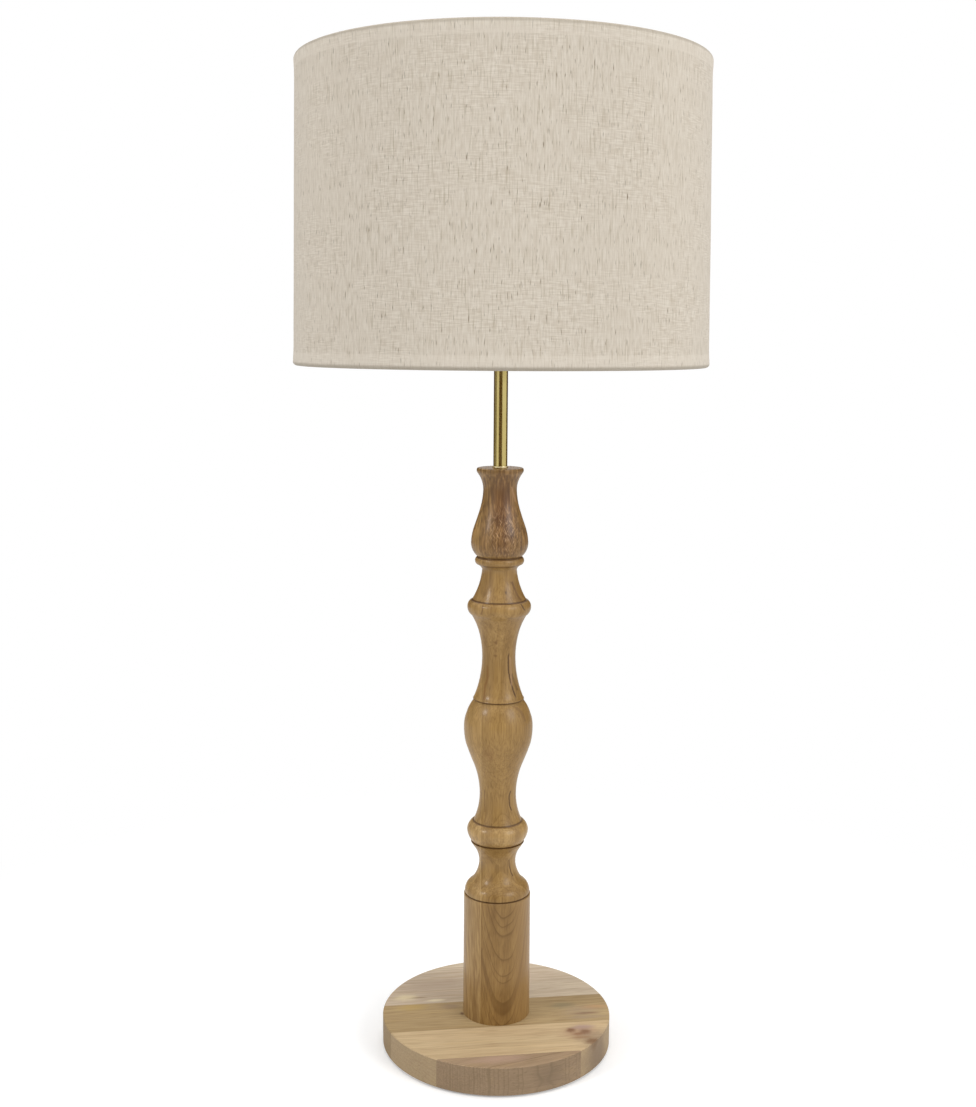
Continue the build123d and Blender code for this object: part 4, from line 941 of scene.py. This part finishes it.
# %% Felt
# Pressed wool has no gloss at all, only a soft sheen at a flat angle.
felt = plain_finish("wool_felt_pressed_brown", "54402E", "34261A", {"Sheen Weight": 0.3}, 0.5, 0.9, 1.0, 0.5)
low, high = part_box("felt_pad")
radius, thick = high.x, high.z
edge = 0.25 * mm
outline = [(0.0, 0.0)] + [(radius * t, 0.0) for t in np.linspace(0.1, 0.98, 24)]
outline += [(radius - edge, 0.0), (radius, edge), (radius, thick)]
outline += [(radius * t, thick) for t in np.linspace(0.98, 0.1, 24)] + [(0.0, thick)]
pad = turned("felt_disc", outline, felt, closed=False, segments=160)
put_in_place(pad, "felt_pad", "root")

# %% [markdown]
# ## Threads and small turnings
# The bulb's cap and the shell that takes it are thin sheet, rolled to the same thread, so their
# waves lie in each other. The harp's stud and the top of the pipe have a fine cut thread. A bump
# would leave their outlines smooth, so the turning tree cuts them. The finial's ball and the ring at
# the foot of the pipe are brass turned on a lathe, and the ring's rounded edge catches the light.

# %% Turn the threaded and round brass pieces
bulb_pitch, bulb_depth = 3.629 * mm, 0.85 * mm
stud_pitch, stud_depth, pipe_depth = 25.4 / 27 * mm, 0.35 * mm, 0.30 * mm
thread_segments, plain_segments = 64, 96
cap_low, cap_high = (c.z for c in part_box("bulb_cap"))
shell_low, shell_high = (c.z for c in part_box("screw_shell"))
stud_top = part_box("harp_stud")[1].z
pipe_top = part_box("stand_pipe")[1].z
turnings = (  # name, CAD node, material, body, slot, thread: pitch, depth, lowest and highest point
    ("bulb_cap_rolled", "bulb_cap", nickel, "bulb", "nickel",
     (bulb_pitch, bulb_depth, cap_low + 2.5 * mm, cap_high - 2 * mm)),
    ("screw_shell_rolled", "screw_shell", brass, "root", "brass",
     (bulb_pitch, bulb_depth, shell_low + 1.5 * mm, shell_high)),
    ("harp_stud_turned", "harp_stud", brass, "harp", "brass",
     (stud_pitch, stud_depth, stud_top - 12.8 * mm, stud_top)),
    ("stand_pipe_drawn", "stand_pipe", brass, "root", "brass",
     (stud_pitch, pipe_depth, pipe_top - 18 * mm, pipe_top)),
    ("finial_ball_turned", "finial_ball", brass, "finial_ball", "brass", None),
)
for name, node, material, body, slot, thread in turnings:
    outline = node_outline(node)
    settings = {"segments": plain_segments}
    if thread:
        pitch, depth, low, high = thread
        outline = divided(outline + [outline[0]], pitch / 10, low, high)[:-1]
        settings = {"segments": thread_segments, "thread_pitch": pitch, "thread_depth": depth,
                    "thread_low": low, "thread_high": high}
    put_in_place(turned(name, outline, material, **settings), node, body)

# %% The ring at the foot of the pipe, with a rounded edge
low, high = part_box("pipe_collar")
outer, inner, half = high.x, high.x - 0.5 * mm, (high.z - low.z) / 2
ring = [(inner, high.z), (inner, low.z), (outer - half * 0.3, low.z)]
ring += [(outer - half + half * cos(a), low.z + half + half * sin(a)) for a in np.linspace(-1.2, pi / 2, 10)]
# Buffing without lacquer leaves fine scratches, which spread the gloss into one wide glow; the colour is
# brass painted almost white, as a painted reflection of the light from above.
pale_painted_brass = plain_finish("brass_turned_painted_pale", "F7EDCB", "F0E3B8", metal, 2.0, 0.42, 0.50)
collar = turned("pipe_collar_turned", ring, pale_painted_brass, segments=plain_segments)
put_in_place(collar, "pipe_collar", "root")
